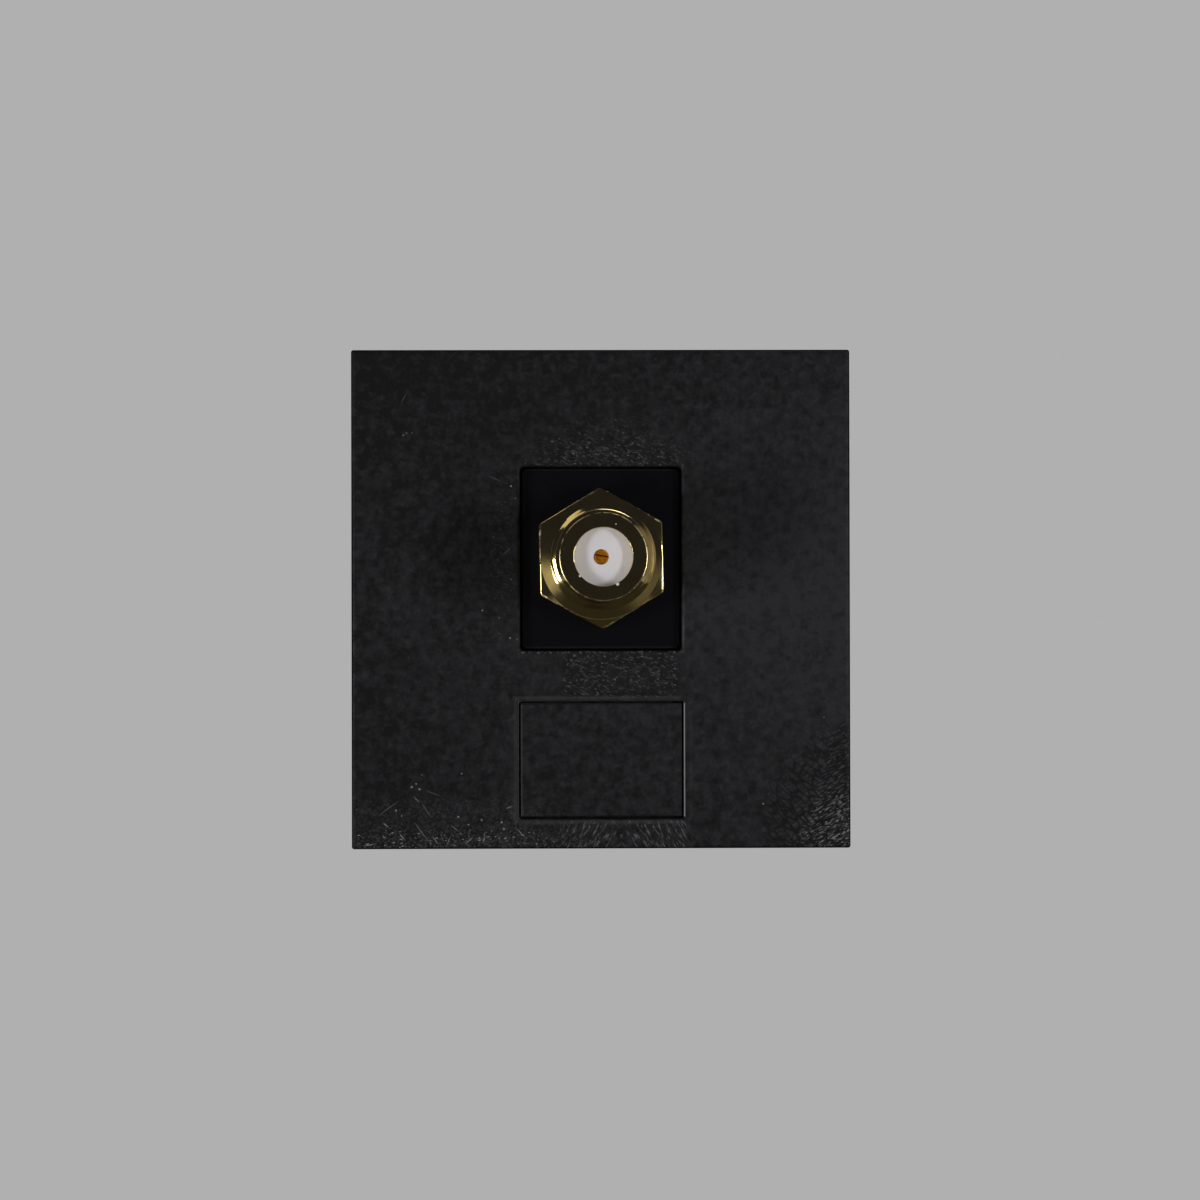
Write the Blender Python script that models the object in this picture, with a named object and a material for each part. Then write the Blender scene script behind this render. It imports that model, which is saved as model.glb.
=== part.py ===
"""A coaxial television outlet: a 45 mm square module that snaps into a wall or trunking frame.

Sizes are in metres. X runs to the right, Z runs up and Y runs into the wall. The origin is the middle
of the opening in the wall frame, on the plane where the rim of the cover seats against that frame.
"""

import math

import bmesh
import bpy

# Cover: the square face, and the skirt that hides the opening in the wall frame
COVER_SIDE = 0.0450
COVER_DEPTH = 0.0060
COVER_FACE = 0.0020
COVER_WALL = 0.0016
COVER_CORNER = 0.0002
COVER_EDGE = 0.00035

# Socket axis, above the middle of the cover
AXIS_HEIGHT = 0.00365

# Opening for the insert in the face of the cover
APERTURE_GAP = 0.00015
APERTURE_EDGE = 0.0003

# Label field: a pocket with a faint raised rim, and the plate that snaps into it
LABEL_WIDTH = 0.0149
LABEL_HEIGHT = 0.0106
LABEL_MARGIN = 0.0027
LABEL_POCKET = 0.0009
LABEL_CHAMFER = 0.00015
LABEL_RIM_WIDTH = 0.0006
LABEL_RIM_RISE = 0.00006
LABEL_GAP = 0.0002
LABEL_SINK = 0.0001
LABEL_LEG_INSET = 0.0014
LABEL_LEG_WIDTH = 0.0034
LABEL_LEG_THICKNESS = 0.0007
LABEL_BARB = 0.0003

# Carrier: the inner frame that holds the insert and latches into the wall frame
CARRIER_PLATE = 0.0018
CARRIER_WALL = 0.0014
CARRIER_REACH = 0.0080
CARRIER_CORNER = 0.0010
RIB_THICKNESS = 0.0012
RIB_DEPTH = 0.0060
RIB_STOP = 0.0014

# Spring tongues in the upper and lower walls of the carrier
FRAME_LEDGE = 0.0020
TONGUE_WIDTH = 0.0070
TONGUE_SLOT = 0.0009
TONGUE_SPACING = 0.0240
TONGUE_BARB = 0.0010
TONGUE_CREST = 0.0005
TONGUE_RAMP = 0.0034

# Lugs on the side walls of the carrier, which click into windows in the skirt of the cover
LUG_WIDTH = 0.0060
LUG_SPACING = 0.0220
LUG_LENGTH = 0.0016
LUG_CREST = 0.0005
LUG_BITE = 0.0010

# Port in the carrier: four walls around the insert, with a ledge at the back, above and below
PORT_WALL = 0.0014
PORT_LEDGE = 0.0015
LEDGE_BEHIND_FACE = 0.0070
LEDGE_BITE = 0.0010

# Insert: a black box, open at the back, that carries the connector and snaps into the port
INSERT_RECESS = 0.0008
INSERT_DEPTH = 0.0105
INSERT_FRONT = 0.0026
INSERT_SIDE = 0.00135
INSERT_ROOF = 0.0015
INSERT_CORNER = 0.0004
INSERT_EDGE = 0.00025
COLLAR_RISE = 0.0003
COLLAR_LENGTH = 0.0009
ARM_WIDTH = 0.0086
ARM_ROOT = 0.0014
ARM_SLOT = 0.0008
ARM_THICKNESS = 0.0009
ARM_TAB_REACH = 0.0022
ARM_TAB_RISE = 0.0009

# Connector shell: one turned piece with a hexagon and a barrel on either side
THREAD_DIAMETER = 0.0093
HEX_SHOULDER = 0.0009
HEX_THICKNESS = 0.0024
HEX_CHAMFER = math.radians(20)
HEX_CORNER = math.radians(1.6)
HEX_TURN = math.radians(1.4)
FRONT_REACH = 0.0084
REAR_REACH = 0.0080
RELIEF_LENGTH = 0.0009
RELIEF_DEPTH = 0.0005
BARREL_WALL = 0.0013
BARREL_CHAMFER = 0.0008
LIP_OVERHANG = 0.00075
LIP_LENGTH = 0.0007

# Insulators, spacer and contact inside the shell
INSULATOR_LENGTH = 0.0040
SPACER_WALL = 0.0009
ENTRY_DIAMETER = 0.0014
ENTRY_DEPTH = 0.0009
CONTACT_WALL = 0.0003
SPRING_LENGTH = 0.0060
SPRING_SETBACK = 0.0003
SPRING_SLIT = 0.00016
SPRING_SLIT_DEPTH = 0.0042
SPRING_MOUTH = 0.00012
SPRING_TURN = math.radians(-14)

# Nut and spring washer that clamp the connector to the front wall of the insert
NUT_THICKNESS = 0.0024
NUT_PLAY = 0.00025
WASHER_BAND = 0.00075
WASHER_THICKNESS = 0.0006
WASHER_TWIST = 0.0003
WASHER_MOUTH = math.radians(14)

# Clearances
MOULDED_GAP = 0.0003
SEAT_GAP = 0.0002
FIT_GAP = 0.0001
THREAD_GAP = 0.00015

# How far a cutter or a joined block reaches past the surface that it meets
OVERRUN = 0.0010
ROOT = 0.0004

BARREL_STEPS = 64
CORE_STEPS = 40
CONTACT_STEPS = 24
ROUND_STEPS = 4

# Depths, from the front of the cover to the back of the connector
cover_front = -COVER_DEPTH
face_back = cover_front + COVER_FACE
carrier_front = face_back + MOULDED_GAP
plate_back = carrier_front + CARRIER_PLATE
label_level = -COVER_SIDE / 2 + LABEL_MARGIN + LABEL_HEIGHT / 2
insert_front = cover_front + INSERT_RECESS
insert_back = insert_front + INSERT_DEPTH
insert_wall_back = insert_front + INSERT_FRONT
hex_back = insert_front - SEAT_GAP
hex_front = hex_back - HEX_THICKNESS
barrel_front = hex_front - FRONT_REACH
washer_middle = insert_wall_back + SEAT_GAP + (WASHER_THICKNESS + WASHER_TWIST) / 2
nut_front = washer_middle + (WASHER_THICKNESS + WASHER_TWIST) / 2 + SEAT_GAP
nut_back = nut_front + NUT_THICKNESS
barrel_back = nut_back + REAR_REACH
ledge_front = insert_front + LEDGE_BEHIND_FACE
ledge_back = ledge_front + PORT_LEDGE

# Widths and heights that follow from the connector outwards
thread_radius = THREAD_DIAMETER / 2
bore_radius = thread_radius - BARREL_WALL
mouth_radius = bore_radius - LIP_OVERHANG
hex_across = THREAD_DIAMETER + 2 * HEX_SHOULDER
hex_corners = hex_across / math.cos(math.radians(30))
cavity_width = hex_across + 2 * NUT_PLAY
cavity_height = hex_corners + 2 * NUT_PLAY
insert_width = cavity_width + 2 * INSERT_SIDE
insert_height = cavity_height + 2 * INSERT_ROOF
aperture_width = insert_width + 2 * APERTURE_GAP
aperture_height = insert_height + 2 * APERTURE_GAP
carrier_side = COVER_SIDE - 2 * COVER_WALL - 2 * MOULDED_GAP
carrier_inside = carrier_side - 2 * CARRIER_WALL

# Heights above the socket axis of the parts of the snap fit
insert_top = insert_height / 2
arm_under = insert_top + ARM_SLOT
arm_top = arm_under + ARM_THICKNESS
hook_top = arm_top + MOULDED_GAP + LEDGE_BITE
port_top = hook_top + MOULDED_GAP
collar_top = insert_top + COLLAR_RISE
foot_bottom = -collar_top - MOULDED_GAP - LEDGE_BITE
port_bottom = foot_bottom - MOULDED_GAP
port_width = insert_width + 2 * (COLLAR_RISE + MOULDED_GAP)

# Radii of the contact, from the entry hole outwards
entry_radius = ENTRY_DIAMETER / 2
spring_radius = entry_radius - FIT_GAP
tube_bore = spring_radius + FIT_GAP
tube_radius = tube_bore + CONTACT_WALL
insulator_radius = bore_radius - FIT_GAP

# Lengths inside the shell, from its front lip
front_insulator_face = barrel_front + LIP_LENGTH + FIT_GAP
rear_insulator_face = barrel_back - LIP_LENGTH - FIT_GAP
tube_front = front_insulator_face + ENTRY_DEPTH + FIT_GAP
tube_back = rear_insulator_face - ENTRY_DEPTH - FIT_GAP
spacer_front = front_insulator_face + INSULATOR_LENGTH + FIT_GAP
spacer_back = rear_insulator_face - INSULATOR_LENGTH - FIT_GAP


def clear_scene():
    """Remove whatever the file opened with, and the meshes that go with it."""
    for obj in list(bpy.data.objects):
        bpy.data.objects.remove(obj, do_unlink=True)
    for mesh in list(bpy.data.meshes):
        bpy.data.meshes.remove(mesh)


def plastic(name, colour, roughness):
    """A moulded finish: a Principled surface with no metal in it."""
    return finish(name, colour, roughness, 0.0)


def metal(name, colour, roughness):
    """A plated or sprung metal finish."""
    return finish(name, colour, roughness, 1.0)


def finish(name, colour, roughness, metallic):
    """A material with the colour, roughness and metallic value of one of the object's surfaces."""
    made = bpy.data.materials.new(name)
    made.use_nodes = True
    shader = made.node_tree.nodes["Principled BSDF"]
    shader.inputs["Base Color"].default_value = (*colour, 1.0)
    shader.inputs["Roughness"].default_value = roughness
    shader.inputs["Metallic"].default_value = metallic
    made.diffuse_color = (*colour, 1.0)
    return made


def empty(name, place):
    """A point that pieces are parented to."""
    made = bpy.data.objects.new(name, None)
    made.location = place
    bpy.context.scene.collection.objects.link(made)
    return made


def solid(name, form, parent, material=None, smooth=False):
    """Turn a bmesh into an object with closed, outward faces."""
    bmesh.ops.recalc_face_normals(form, faces=form.faces)
    mesh = bpy.data.meshes.new(name)
    form.to_mesh(mesh)
    form.free()
    if smooth:
        mesh.shade_smooth()
        mesh.set_sharp_from_angle(angle=math.radians(35))
    if material:
        mesh.materials.append(material)
    made = bpy.data.objects.new(name, mesh)
    made.parent = parent
    bpy.context.scene.collection.objects.link(made)
    return made


def shape_with(piece, tool, operation):
    """Cut, join or trim a piece with another solid, which stays as a hidden helper."""
    step = piece.modifiers.new(tool.name, "BOOLEAN")
    step.operation = operation
    step.solver = "EXACT"
    step.object = tool
    tool.hide_render = True
    tool.display_type = "WIRE"
    return piece


def cut(piece, *tools):
    """Take the tools away from the piece."""
    for tool in tools:
        shape_with(piece, tool, "DIFFERENCE")


def join(piece, *tools):
    """Fuse the tools with the piece."""
    for tool in tools:
        shape_with(piece, tool, "UNION")


def block(name, parent, x, y, z, material=None):
    """A rectangular solid between two limits on each axis."""
    form = bmesh.new()
    corners = [form.verts.new((i, j, k)) for i in x for j in y for k in z]
    bmesh.ops.convex_hull(form, input=corners)
    return solid(name, form, parent, material)


def about(middle, length):
    """The two limits of a length about its middle."""
    return (middle - length / 2, middle + length / 2)


def rounded_rectangle(width, height, radius):
    """The outline of a rectangle with round corners, as (x, z) points about its middle."""
    points = []
    for quarter, (side, level) in enumerate([(1, 1), (-1, 1), (-1, -1), (1, -1)]):
        for step in range(ROUND_STEPS + 1):
            angle = math.radians(90 * (quarter + step / ROUND_STEPS))
            points.append((
                side * (width / 2 - radius) + radius * math.cos(angle),
                level * (height / 2 - radius) + radius * math.sin(angle),
            ))
    return points


def loft(name, parent, loops, material=None):
    """A closed solid through several outlines with as many points each."""
    form = bmesh.new()
    rings = [[form.verts.new(point) for point in loop] for loop in loops]
    for first, second in zip(rings, rings[1:]):
        for i in range(len(first)):
            following = (i + 1) % len(first)
            form.faces.new((first[i], first[following], second[following], second[i]))
    form.faces.new(rings[0])
    form.faces.new(rings[-1])
    return solid(name, form, parent, material)


def rounded_block(name, parent, width, height, corner, stations, middle=(0, 0), material=None):
    """A loft of rounded rectangles. Each station is a depth and how far the outline is drawn in there."""
    loops = []
    for depth, inset in stations:
        radius = max(corner - inset, corner / 10)
        outline = rounded_rectangle(width - 2 * inset, height - 2 * inset, radius)
        loops.append([(x + middle[0], depth, z + middle[1]) for x, z in outline])
    return loft(name, parent, loops, material)


def rounded_edge(depth, radius):
    """Stations of a convex quarter round that starts at a face and runs into the side."""
    angles = [math.radians(90 * step / ROUND_STEPS) for step in range(ROUND_STEPS + 1)]
    return [(depth + radius * (1 - math.cos(a)), radius * (1 - math.sin(a))) for a in angles]


def flared_edge(depth, radius):
    """Stations of a cutter that leaves a convex quarter round on the rim of its hole."""
    return [(at, -inset) for at, inset in rounded_edge(depth, radius)]


def prism(name, parent, outline, axis, limits, material=None):
    """An outline extruded along X, Y or Z. Its points give the other two coordinates in order."""
    form = bmesh.new()
    along = "XYZ".index(axis)
    start = []
    for point in outline:
        place = list(point)
        place.insert(along, limits[0])
        start.append(form.verts.new(place))
    face = form.faces.new(start)
    moved = bmesh.ops.extrude_face_region(form, geom=[face])["geom"]
    travel = [0.0, 0.0, 0.0]
    travel[along] = limits[1] - limits[0]
    verts = [item for item in moved if isinstance(item, bmesh.types.BMVert)]
    bmesh.ops.translate(form, verts=verts, vec=travel)
    return solid(name, form, parent, material)


def turned(name, parent, profile, steps, material=None):
    """A profile of (radius, depth) points turned about the local Y axis."""
    form = bmesh.new()
    points = [form.verts.new((radius, depth, 0)) for radius, depth in profile]
    pairs = list(zip(points, points[1:]))
    if profile[0][0] > 0:
        pairs.append((points[-1], points[0]))
    edges = [form.edges.new(pair) for pair in pairs]
    bmesh.ops.spin(
        form,
        geom=points + edges,
        axis=(0, 1, 0),
        cent=(0, 0, 0),
        angle=math.tau,
        steps=steps,
        use_merge=True,
    )
    bmesh.ops.remove_doubles(form, verts=form.verts, dist=1e-7)
    return solid(name, form, parent, material, smooth=True)


def hexagon(name, parent, front, back, turn, material=None, chamfer_back=False):
    """A hexagonal block, corner up, with its corners turned off at the front, or on both sides."""
    radius = hex_across / 2 / math.cos(math.radians(30) - HEX_CORNER)
    outline = []
    for corner in range(6):
        for beside in (-HEX_CORNER, HEX_CORNER):
            angle = math.radians(90 + 60 * corner) + turn + beside
            outline.append((radius * math.cos(angle), radius * math.sin(angle)))
    made = prism(name, parent, outline, "Y", (front, back), material)
    flat = hex_across / 2 * 0.985
    drop = (radius + OVERRUN - flat) * math.tan(HEX_CHAMFER)
    profile = [(0, front), (flat, front), (radius + OVERRUN, front + drop)]
    if chamfer_back:
        profile += [(radius + OVERRUN, back - drop), (flat, back), (0, back)]
    else:
        profile += [(radius + OVERRUN, back + OVERRUN), (0, back + OVERRUN)]
    shape_with(made, turned(name + "_chamfer", parent, profile, BARREL_STEPS), "INTERSECT")
    return made


def lug_limits():
    """Front and back of the cover lugs, in the middle of what the skirt leaves behind the face."""
    return about((carrier_front + 0) / 2, LUG_LENGTH)


def front_cover(module, material):
    """The visible square: a face with the insert's opening and the label field, and a skirt around it."""
    stations = rounded_edge(cover_front, COVER_EDGE) + [(0, 0)]
    cover = rounded_block(
        "front_cover", module, COVER_SIDE, COVER_SIDE, COVER_CORNER, stations, material=material
    )
    inside = COVER_SIDE - 2 * COVER_WALL
    cut(cover, block("cover_hollow", module, about(0, inside), (face_back, OVERRUN), about(0, inside)))

    stations = [(cover_front - OVERRUN, -APERTURE_EDGE)]
    stations += flared_edge(cover_front, APERTURE_EDGE) + [(face_back + OVERRUN, 0)]
    cut(cover, rounded_block(
        "cover_aperture", module, aperture_width, aperture_height, INSERT_CORNER, stations, (0, AXIS_HEIGHT)
    ))

    below = (0, label_level)
    rim = LABEL_CHAMFER + LABEL_RIM_WIDTH
    join(cover, rounded_block(
        "label_rim", module, LABEL_WIDTH, LABEL_HEIGHT, COVER_CORNER,
        [(cover_front + ROOT, -rim), (cover_front, -rim),
         (cover_front - LABEL_RIM_RISE, -LABEL_CHAMFER - LABEL_RIM_WIDTH / 2)],
        below,
    ))
    rim_top = cover_front - LABEL_RIM_RISE
    cut(cover, rounded_block(
        "label_pocket", module, LABEL_WIDTH, LABEL_HEIGHT, COVER_CORNER / 2,
        [(rim_top - OVERRUN, -LABEL_CHAMFER), (rim_top, -LABEL_CHAMFER), (rim_top + LABEL_CHAMFER, 0),
         (cover_front + LABEL_POCKET, 0)],
        below,
    ))
    for side in (-1, 1):
        slot_width = LABEL_LEG_THICKNESS + LABEL_BARB + 2 * FIT_GAP
        middle = side * (LABEL_WIDTH / 2 - LABEL_LEG_INSET + LABEL_BARB / 2)
        cut(cover, block(
            f"leg_slot_{side}", module, about(middle, slot_width), (cover_front, face_back + OVERRUN),
            about(label_level, LABEL_LEG_WIDTH + 2 * FIT_GAP),
        ))

    lug_front, lug_back = lug_limits()
    for side in (-1, 1):
        for level in (-1, 1):
            outside = side * (COVER_SIDE / 2 + OVERRUN)
            within = side * (COVER_SIDE / 2 - COVER_WALL - OVERRUN)
            cut(cover, block(
                f"lug_window_{side}_{level}", module, (within, outside),
                (lug_front - MOULDED_GAP, lug_back + MOULDED_GAP),
                about(level * LUG_SPACING / 2, LUG_WIDTH + 2 * MOULDED_GAP),
            ))
    return cover


def label_plate(module, material):
    """The plate in the label field: flat, a little below the rim, with two barbed legs behind it."""
    width = LABEL_WIDTH - 2 * LABEL_GAP
    height = LABEL_HEIGHT - 2 * LABEL_GAP
    front = cover_front + LABEL_SINK
    back = cover_front + LABEL_POCKET - FIT_GAP
    plate = rounded_block(
        "label_plate", module, width, height, COVER_CORNER / 2,
        [(front, FIT_GAP), (front + FIT_GAP, 0), (back, 0)],
        (0, label_level), material,
    )
    catch = face_back + FIT_GAP
    tip = catch + LABEL_LEG_THICKNESS
    for side in (-1, 1):
        near = side * (LABEL_WIDTH / 2 - LABEL_LEG_INSET - LABEL_LEG_THICKNESS / 2)
        far = side * (LABEL_WIDTH / 2 - LABEL_LEG_INSET + LABEL_LEG_THICKNESS / 2)
        hook = far + side * LABEL_BARB
        outline = [
            (near, back - FIT_GAP * 2), (far, back - FIT_GAP * 2), (far, catch), (hook, catch),
            (far, tip), (near, tip),
        ]
        join(plate, prism(
            f"label_leg_{side}", module, outline, "Z", about(label_level, LABEL_LEG_WIDTH)
        ))
    return plate


def carrier_frame(module, material):
    """The inner frame: a plate with a skirt, the insert's port in the middle and ribs that tie them."""
    stations = [(carrier_front, ROOT), (carrier_front + ROOT, 0), (CARRIER_REACH, 0)]
    carrier = rounded_block(
        "carrier_frame", module, carrier_side, carrier_side, CARRIER_CORNER, stations, material=material
    )
    cut(carrier, block(
        "carrier_hollow", module, about(0, carrier_inside), (plate_back, CARRIER_REACH + OVERRUN),
        about(0, carrier_inside),
    ))
    port_low = AXIS_HEIGHT + port_bottom
    port_high = AXIS_HEIGHT + port_top
    join(carrier, block(
        "port_walls", module, about(0, port_width + 2 * PORT_WALL), (plate_back - ROOT, ledge_back),
        (port_low - PORT_WALL, port_high + PORT_WALL),
    ))
    add_ribs(carrier, module, port_low)
    cut(carrier, block(
        "port_room", module, about(0, port_width), (carrier_front - OVERRUN, ledge_front),
        (port_low, port_high),
    ))
    cut(carrier, block(
        "port_back", module, about(0, port_width), (ledge_front - ROOT, ledge_back + OVERRUN),
        (AXIS_HEIGHT - collar_top - MOULDED_GAP, AXIS_HEIGHT + arm_top + MOULDED_GAP),
    ))
    cut(carrier, block(
        "label_window", module, about(0, port_width), (carrier_front - OVERRUN, plate_back + OVERRUN),
        about(label_level, LABEL_HEIGHT / 2 + LABEL_LEG_WIDTH / 2),
    ))
    for side in (-1, 1):
        for level in (-1, 1):
            add_tongue(carrier, module, side, level)
            add_lug(carrier, module, side, level)
    return carrier


def add_ribs(carrier, module, port_low):
    """Ribs on the plate: one from each side of the port to the skirt, and two down towards the tongues."""
    wall = carrier_inside / 2 + ROOT
    rib_end = RIB_STOP - carrier_inside / 2
    depth = (plate_back - ROOT, plate_back + RIB_DEPTH)
    for side in (-1, 1):
        near = side * (port_width / 2 + PORT_WALL - ROOT)
        join(carrier, block(
            f"side_rib_{side}", module, (near, side * wall), depth, about(AXIS_HEIGHT, RIB_THICKNESS)
        ))
        middle = side * (port_width / 2 + PORT_WALL / 2)
        join(carrier, block(
            f"lower_rib_{side}", module, about(middle, RIB_THICKNESS), depth, (rib_end, port_low)
        ))


def add_tongue(carrier, module, side, level):
    """A spring tongue: two slots free it from the wall, and its barb grips behind the frame's ledge."""
    middle = side * TONGUE_SPACING / 2
    outside = level * carrier_side / 2
    inside = level * carrier_inside / 2
    for edge in (-1, 1):
        cut(carrier, block(
            f"tongue_slot_{side}_{level}_{edge}", module,
            about(middle + edge * (TONGUE_WIDTH + TONGUE_SLOT) / 2, TONGUE_SLOT),
            (plate_back, CARRIER_REACH + OVERRUN),
            (inside - level * ROOT, outside + level * OVERRUN),
        ))
    catch = FRAME_LEDGE + SEAT_GAP
    crest = outside + level * TONGUE_BARB
    root = outside - level * ROOT
    outline = [
        (catch, root), (catch, crest), (catch + TONGUE_CREST, crest),
        (catch + TONGUE_CREST + TONGUE_RAMP, outside), (catch + TONGUE_CREST + TONGUE_RAMP, root),
    ]
    join(carrier, prism(
        f"tongue_barb_{side}_{level}", module, outline, "X", about(middle, TONGUE_WIDTH)
    ))


def add_lug(carrier, module, side, level):
    """A lug that clicks into the cover: a ramp at the front, a square catch at the back."""
    lug_front, lug_back = lug_limits()
    outside = side * carrier_side / 2
    root = outside - side * ROOT
    crest = outside + side * (MOULDED_GAP + LUG_BITE)
    outline = [
        (root, lug_front), (outside, lug_front), (crest, lug_back - LUG_CREST), (crest, lug_back),
        (root, lug_back),
    ]
    join(carrier, prism(
        f"lug_{side}_{level}", module, outline, "Z", about(level * LUG_SPACING / 2, LUG_WIDTH)
    ))


def snap_insert(axis, material):
    """The box that carries the connector: a foot and a shoulder below, a sprung arm above.

    A low collar behind the cover is wider than the opening, so that no light comes through the gap.
    """
    stations = rounded_edge(insert_front, INSERT_EDGE) + [(insert_back, 0)]
    insert = rounded_block(
        "snap_insert", axis, insert_width, insert_height, INSERT_CORNER, stations, material=material
    )
    collar_front = carrier_front + FIT_GAP
    join(insert, rounded_block(
        "insert_collar", axis, insert_width, insert_height, INSERT_CORNER - COLLAR_RISE,
        [(collar_front, -COLLAR_RISE), (collar_front + COLLAR_LENGTH, -COLLAR_RISE)],
    ))
    cut(insert, block(
        "insert_cavity", axis, about(0, cavity_width), (insert_wall_back, insert_back + OVERRUN),
        about(0, cavity_height),
    ))
    hole = thread_radius + THREAD_GAP
    cut(insert, turned(
        "insert_hole", axis,
        [(0, insert_front - OVERRUN), (hole, insert_front - OVERRUN),
         (hole, insert_wall_back + OVERRUN), (0, insert_wall_back + OVERRUN)],
        BARREL_STEPS,
    ))
    foot = (-insert_top + ROOT, foot_bottom)
    join(
        insert,
        block("insert_foot", axis, about(0, ARM_WIDTH),
              (ledge_front - MOULDED_GAP - PORT_LEDGE, ledge_front - MOULDED_GAP), foot),
        block("insert_shoulder", axis, about(0, ARM_WIDTH),
              (ledge_back + MOULDED_GAP, insert_back), foot),
        prism("insert_arm", axis, arm_outline(), "X", about(0, ARM_WIDTH)),
    )
    return insert


def arm_outline():
    """The sprung arm from the side, as (depth, height): root, hook, notch for the ledge, finger tab."""
    root_front = carrier_front
    root_back = root_front + ARM_ROOT
    hook_back = ledge_front - MOULDED_GAP
    notch_back = ledge_back + MOULDED_GAP
    tab_back = notch_back + ARM_TAB_REACH + ARM_THICKNESS
    buried = insert_top - ROOT
    return [
        (root_front, buried), (root_front, insert_top + ARM_SLOT), (hook_back - ARM_THICKNESS, hook_top),
        (hook_back, hook_top), (hook_back, arm_top), (notch_back, arm_top), (notch_back, hook_top),
        (notch_back + ARM_THICKNESS, hook_top), (tab_back, hook_top + ARM_TAB_RISE),
        (tab_back, hook_top + ARM_TAB_RISE - ARM_THICKNESS), (notch_back + ARM_THICKNESS, arm_under),
        (root_back, arm_under), (root_back, buried),
    ]


def connector_shell(axis, material):
    """The turned shell: front barrel, thread relief, hexagon, and the rear barrel through the insert."""
    face_radius = thread_radius - BARREL_CHAMFER
    relief = thread_radius - RELIEF_DEPTH
    shell = turned(
        "connector_shell", axis,
        [(0, barrel_front), (face_radius, barrel_front), (thread_radius, barrel_front + BARREL_CHAMFER),
         (thread_radius, hex_front - RELIEF_LENGTH - RELIEF_DEPTH), (relief, hex_front - RELIEF_LENGTH),
         (relief, hex_front + ROOT), (thread_radius, hex_front + ROOT),
         (thread_radius, barrel_back - BARREL_CHAMFER), (face_radius, barrel_back), (0, barrel_back)],
        BARREL_STEPS, material,
    )
    join(shell, hexagon("shell_hexagon", axis, hex_front, hex_back, HEX_TURN))
    cut(shell, turned(
        "shell_bore", axis,
        [(0, barrel_front - OVERRUN), (mouth_radius, barrel_front - OVERRUN),
         (mouth_radius, barrel_front + LIP_LENGTH), (bore_radius, barrel_front + LIP_LENGTH),
         (bore_radius, barrel_back - LIP_LENGTH), (mouth_radius, barrel_back - LIP_LENGTH),
         (mouth_radius, barrel_back + OVERRUN), (0, barrel_back + OVERRUN)],
        BARREL_STEPS,
    ))
    return shell


def insulator(name, axis, face, inward, material):
    """A white plug behind a lip of the shell: a small entry hole, then a seat for the contact tube."""
    seat = tube_radius + FIT_GAP
    back = face + inward * INSULATOR_LENGTH
    return turned(
        name, axis,
        [(entry_radius, face), (insulator_radius, face), (insulator_radius, back), (seat, back),
         (seat, face + inward * ENTRY_DEPTH), (entry_radius, face + inward * ENTRY_DEPTH)],
        CORE_STEPS, material,
    )


def spacer_sleeve(axis, material):
    """The sleeve that keeps the two insulators apart."""
    inner = insulator_radius - SPACER_WALL
    return turned(
        "spacer_sleeve", axis,
        [(inner, spacer_front), (insulator_radius, spacer_front), (insulator_radius, spacer_back),
         (inner, spacer_back)],
        CORE_STEPS, material,
    )


def contact_tube(axis, material):
    """The straight tube that joins the front contact spring to the rear one."""
    return turned(
        "contact_tube", axis,
        [(tube_bore, tube_front), (tube_radius, tube_front), (tube_radius, tube_back),
         (tube_bore, tube_back)],
        CONTACT_STEPS, material,
    )


def contact_spring(name, axis, face, inward, material):
    """A slit spring of two half-round leaves, which grip the wire that comes through the entry hole."""
    tip = face + inward * SPRING_SETBACK
    back = tip + inward * SPRING_LENGTH
    spring = turned(
        name, axis,
        [(0, tip + inward * SPRING_MOUTH), (SPRING_MOUTH, tip + inward * SPRING_MOUTH / 2),
         (spring_radius - SPRING_MOUTH, tip), (spring_radius, tip + inward * SPRING_MOUTH),
         (spring_radius, back), (0, back)],
        CONTACT_STEPS, material,
    )
    slit = block(
        name + "_slit", axis, about(0, 2 * spring_radius + OVERRUN),
        (tip - inward * OVERRUN, tip + inward * SPRING_SLIT_DEPTH), about(0, SPRING_SLIT),
    )
    slit.rotation_euler = (0, -SPRING_TURN, 0)
    cut(spring, slit)
    return spring


def spring_washer(axis, material):
    """A split ring with a slight twist, between the front wall of the insert and the nut."""
    inner = thread_radius + THREAD_GAP
    outer = inner + WASHER_BAND
    form = bmesh.new()
    sections = []
    for step in range(BARREL_STEPS + 1):
        share = step / BARREL_STEPS
        angle = math.radians(90) + WASHER_MOUTH / 2 + share * (math.tau - WASHER_MOUTH)
        middle = washer_middle + WASHER_TWIST * (share - 0.5)
        near, far = about(middle, WASHER_THICKNESS)
        corners = [(inner, near), (outer, near), (outer, far), (inner, far)]
        sections.append([
            form.verts.new((r * math.cos(angle), y, r * math.sin(angle))) for r, y in corners
        ])
    for first, second in zip(sections, sections[1:]):
        for i in range(4):
            following = (i + 1) % 4
            form.faces.new((first[i], first[following], second[following], second[i]))
    form.faces.new(sections[0])
    form.faces.new(sections[-1])
    return solid("spring_washer", form, axis, material, smooth=True)


def jam_nut(axis, material):
    """The thin nut that the walls of the insert keep from turning."""
    nut = hexagon("jam_nut", axis, nut_front, nut_back, 0.0, material, chamfer_back=True)
    hole = thread_radius + THREAD_GAP
    cut(nut, turned(
        "nut_bore", axis,
        [(0, nut_front - OVERRUN), (hole, nut_front - OVERRUN), (hole, nut_back + OVERRUN),
         (0, nut_back + OVERRUN)],
        BARREL_STEPS,
    ))
    return nut


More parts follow.
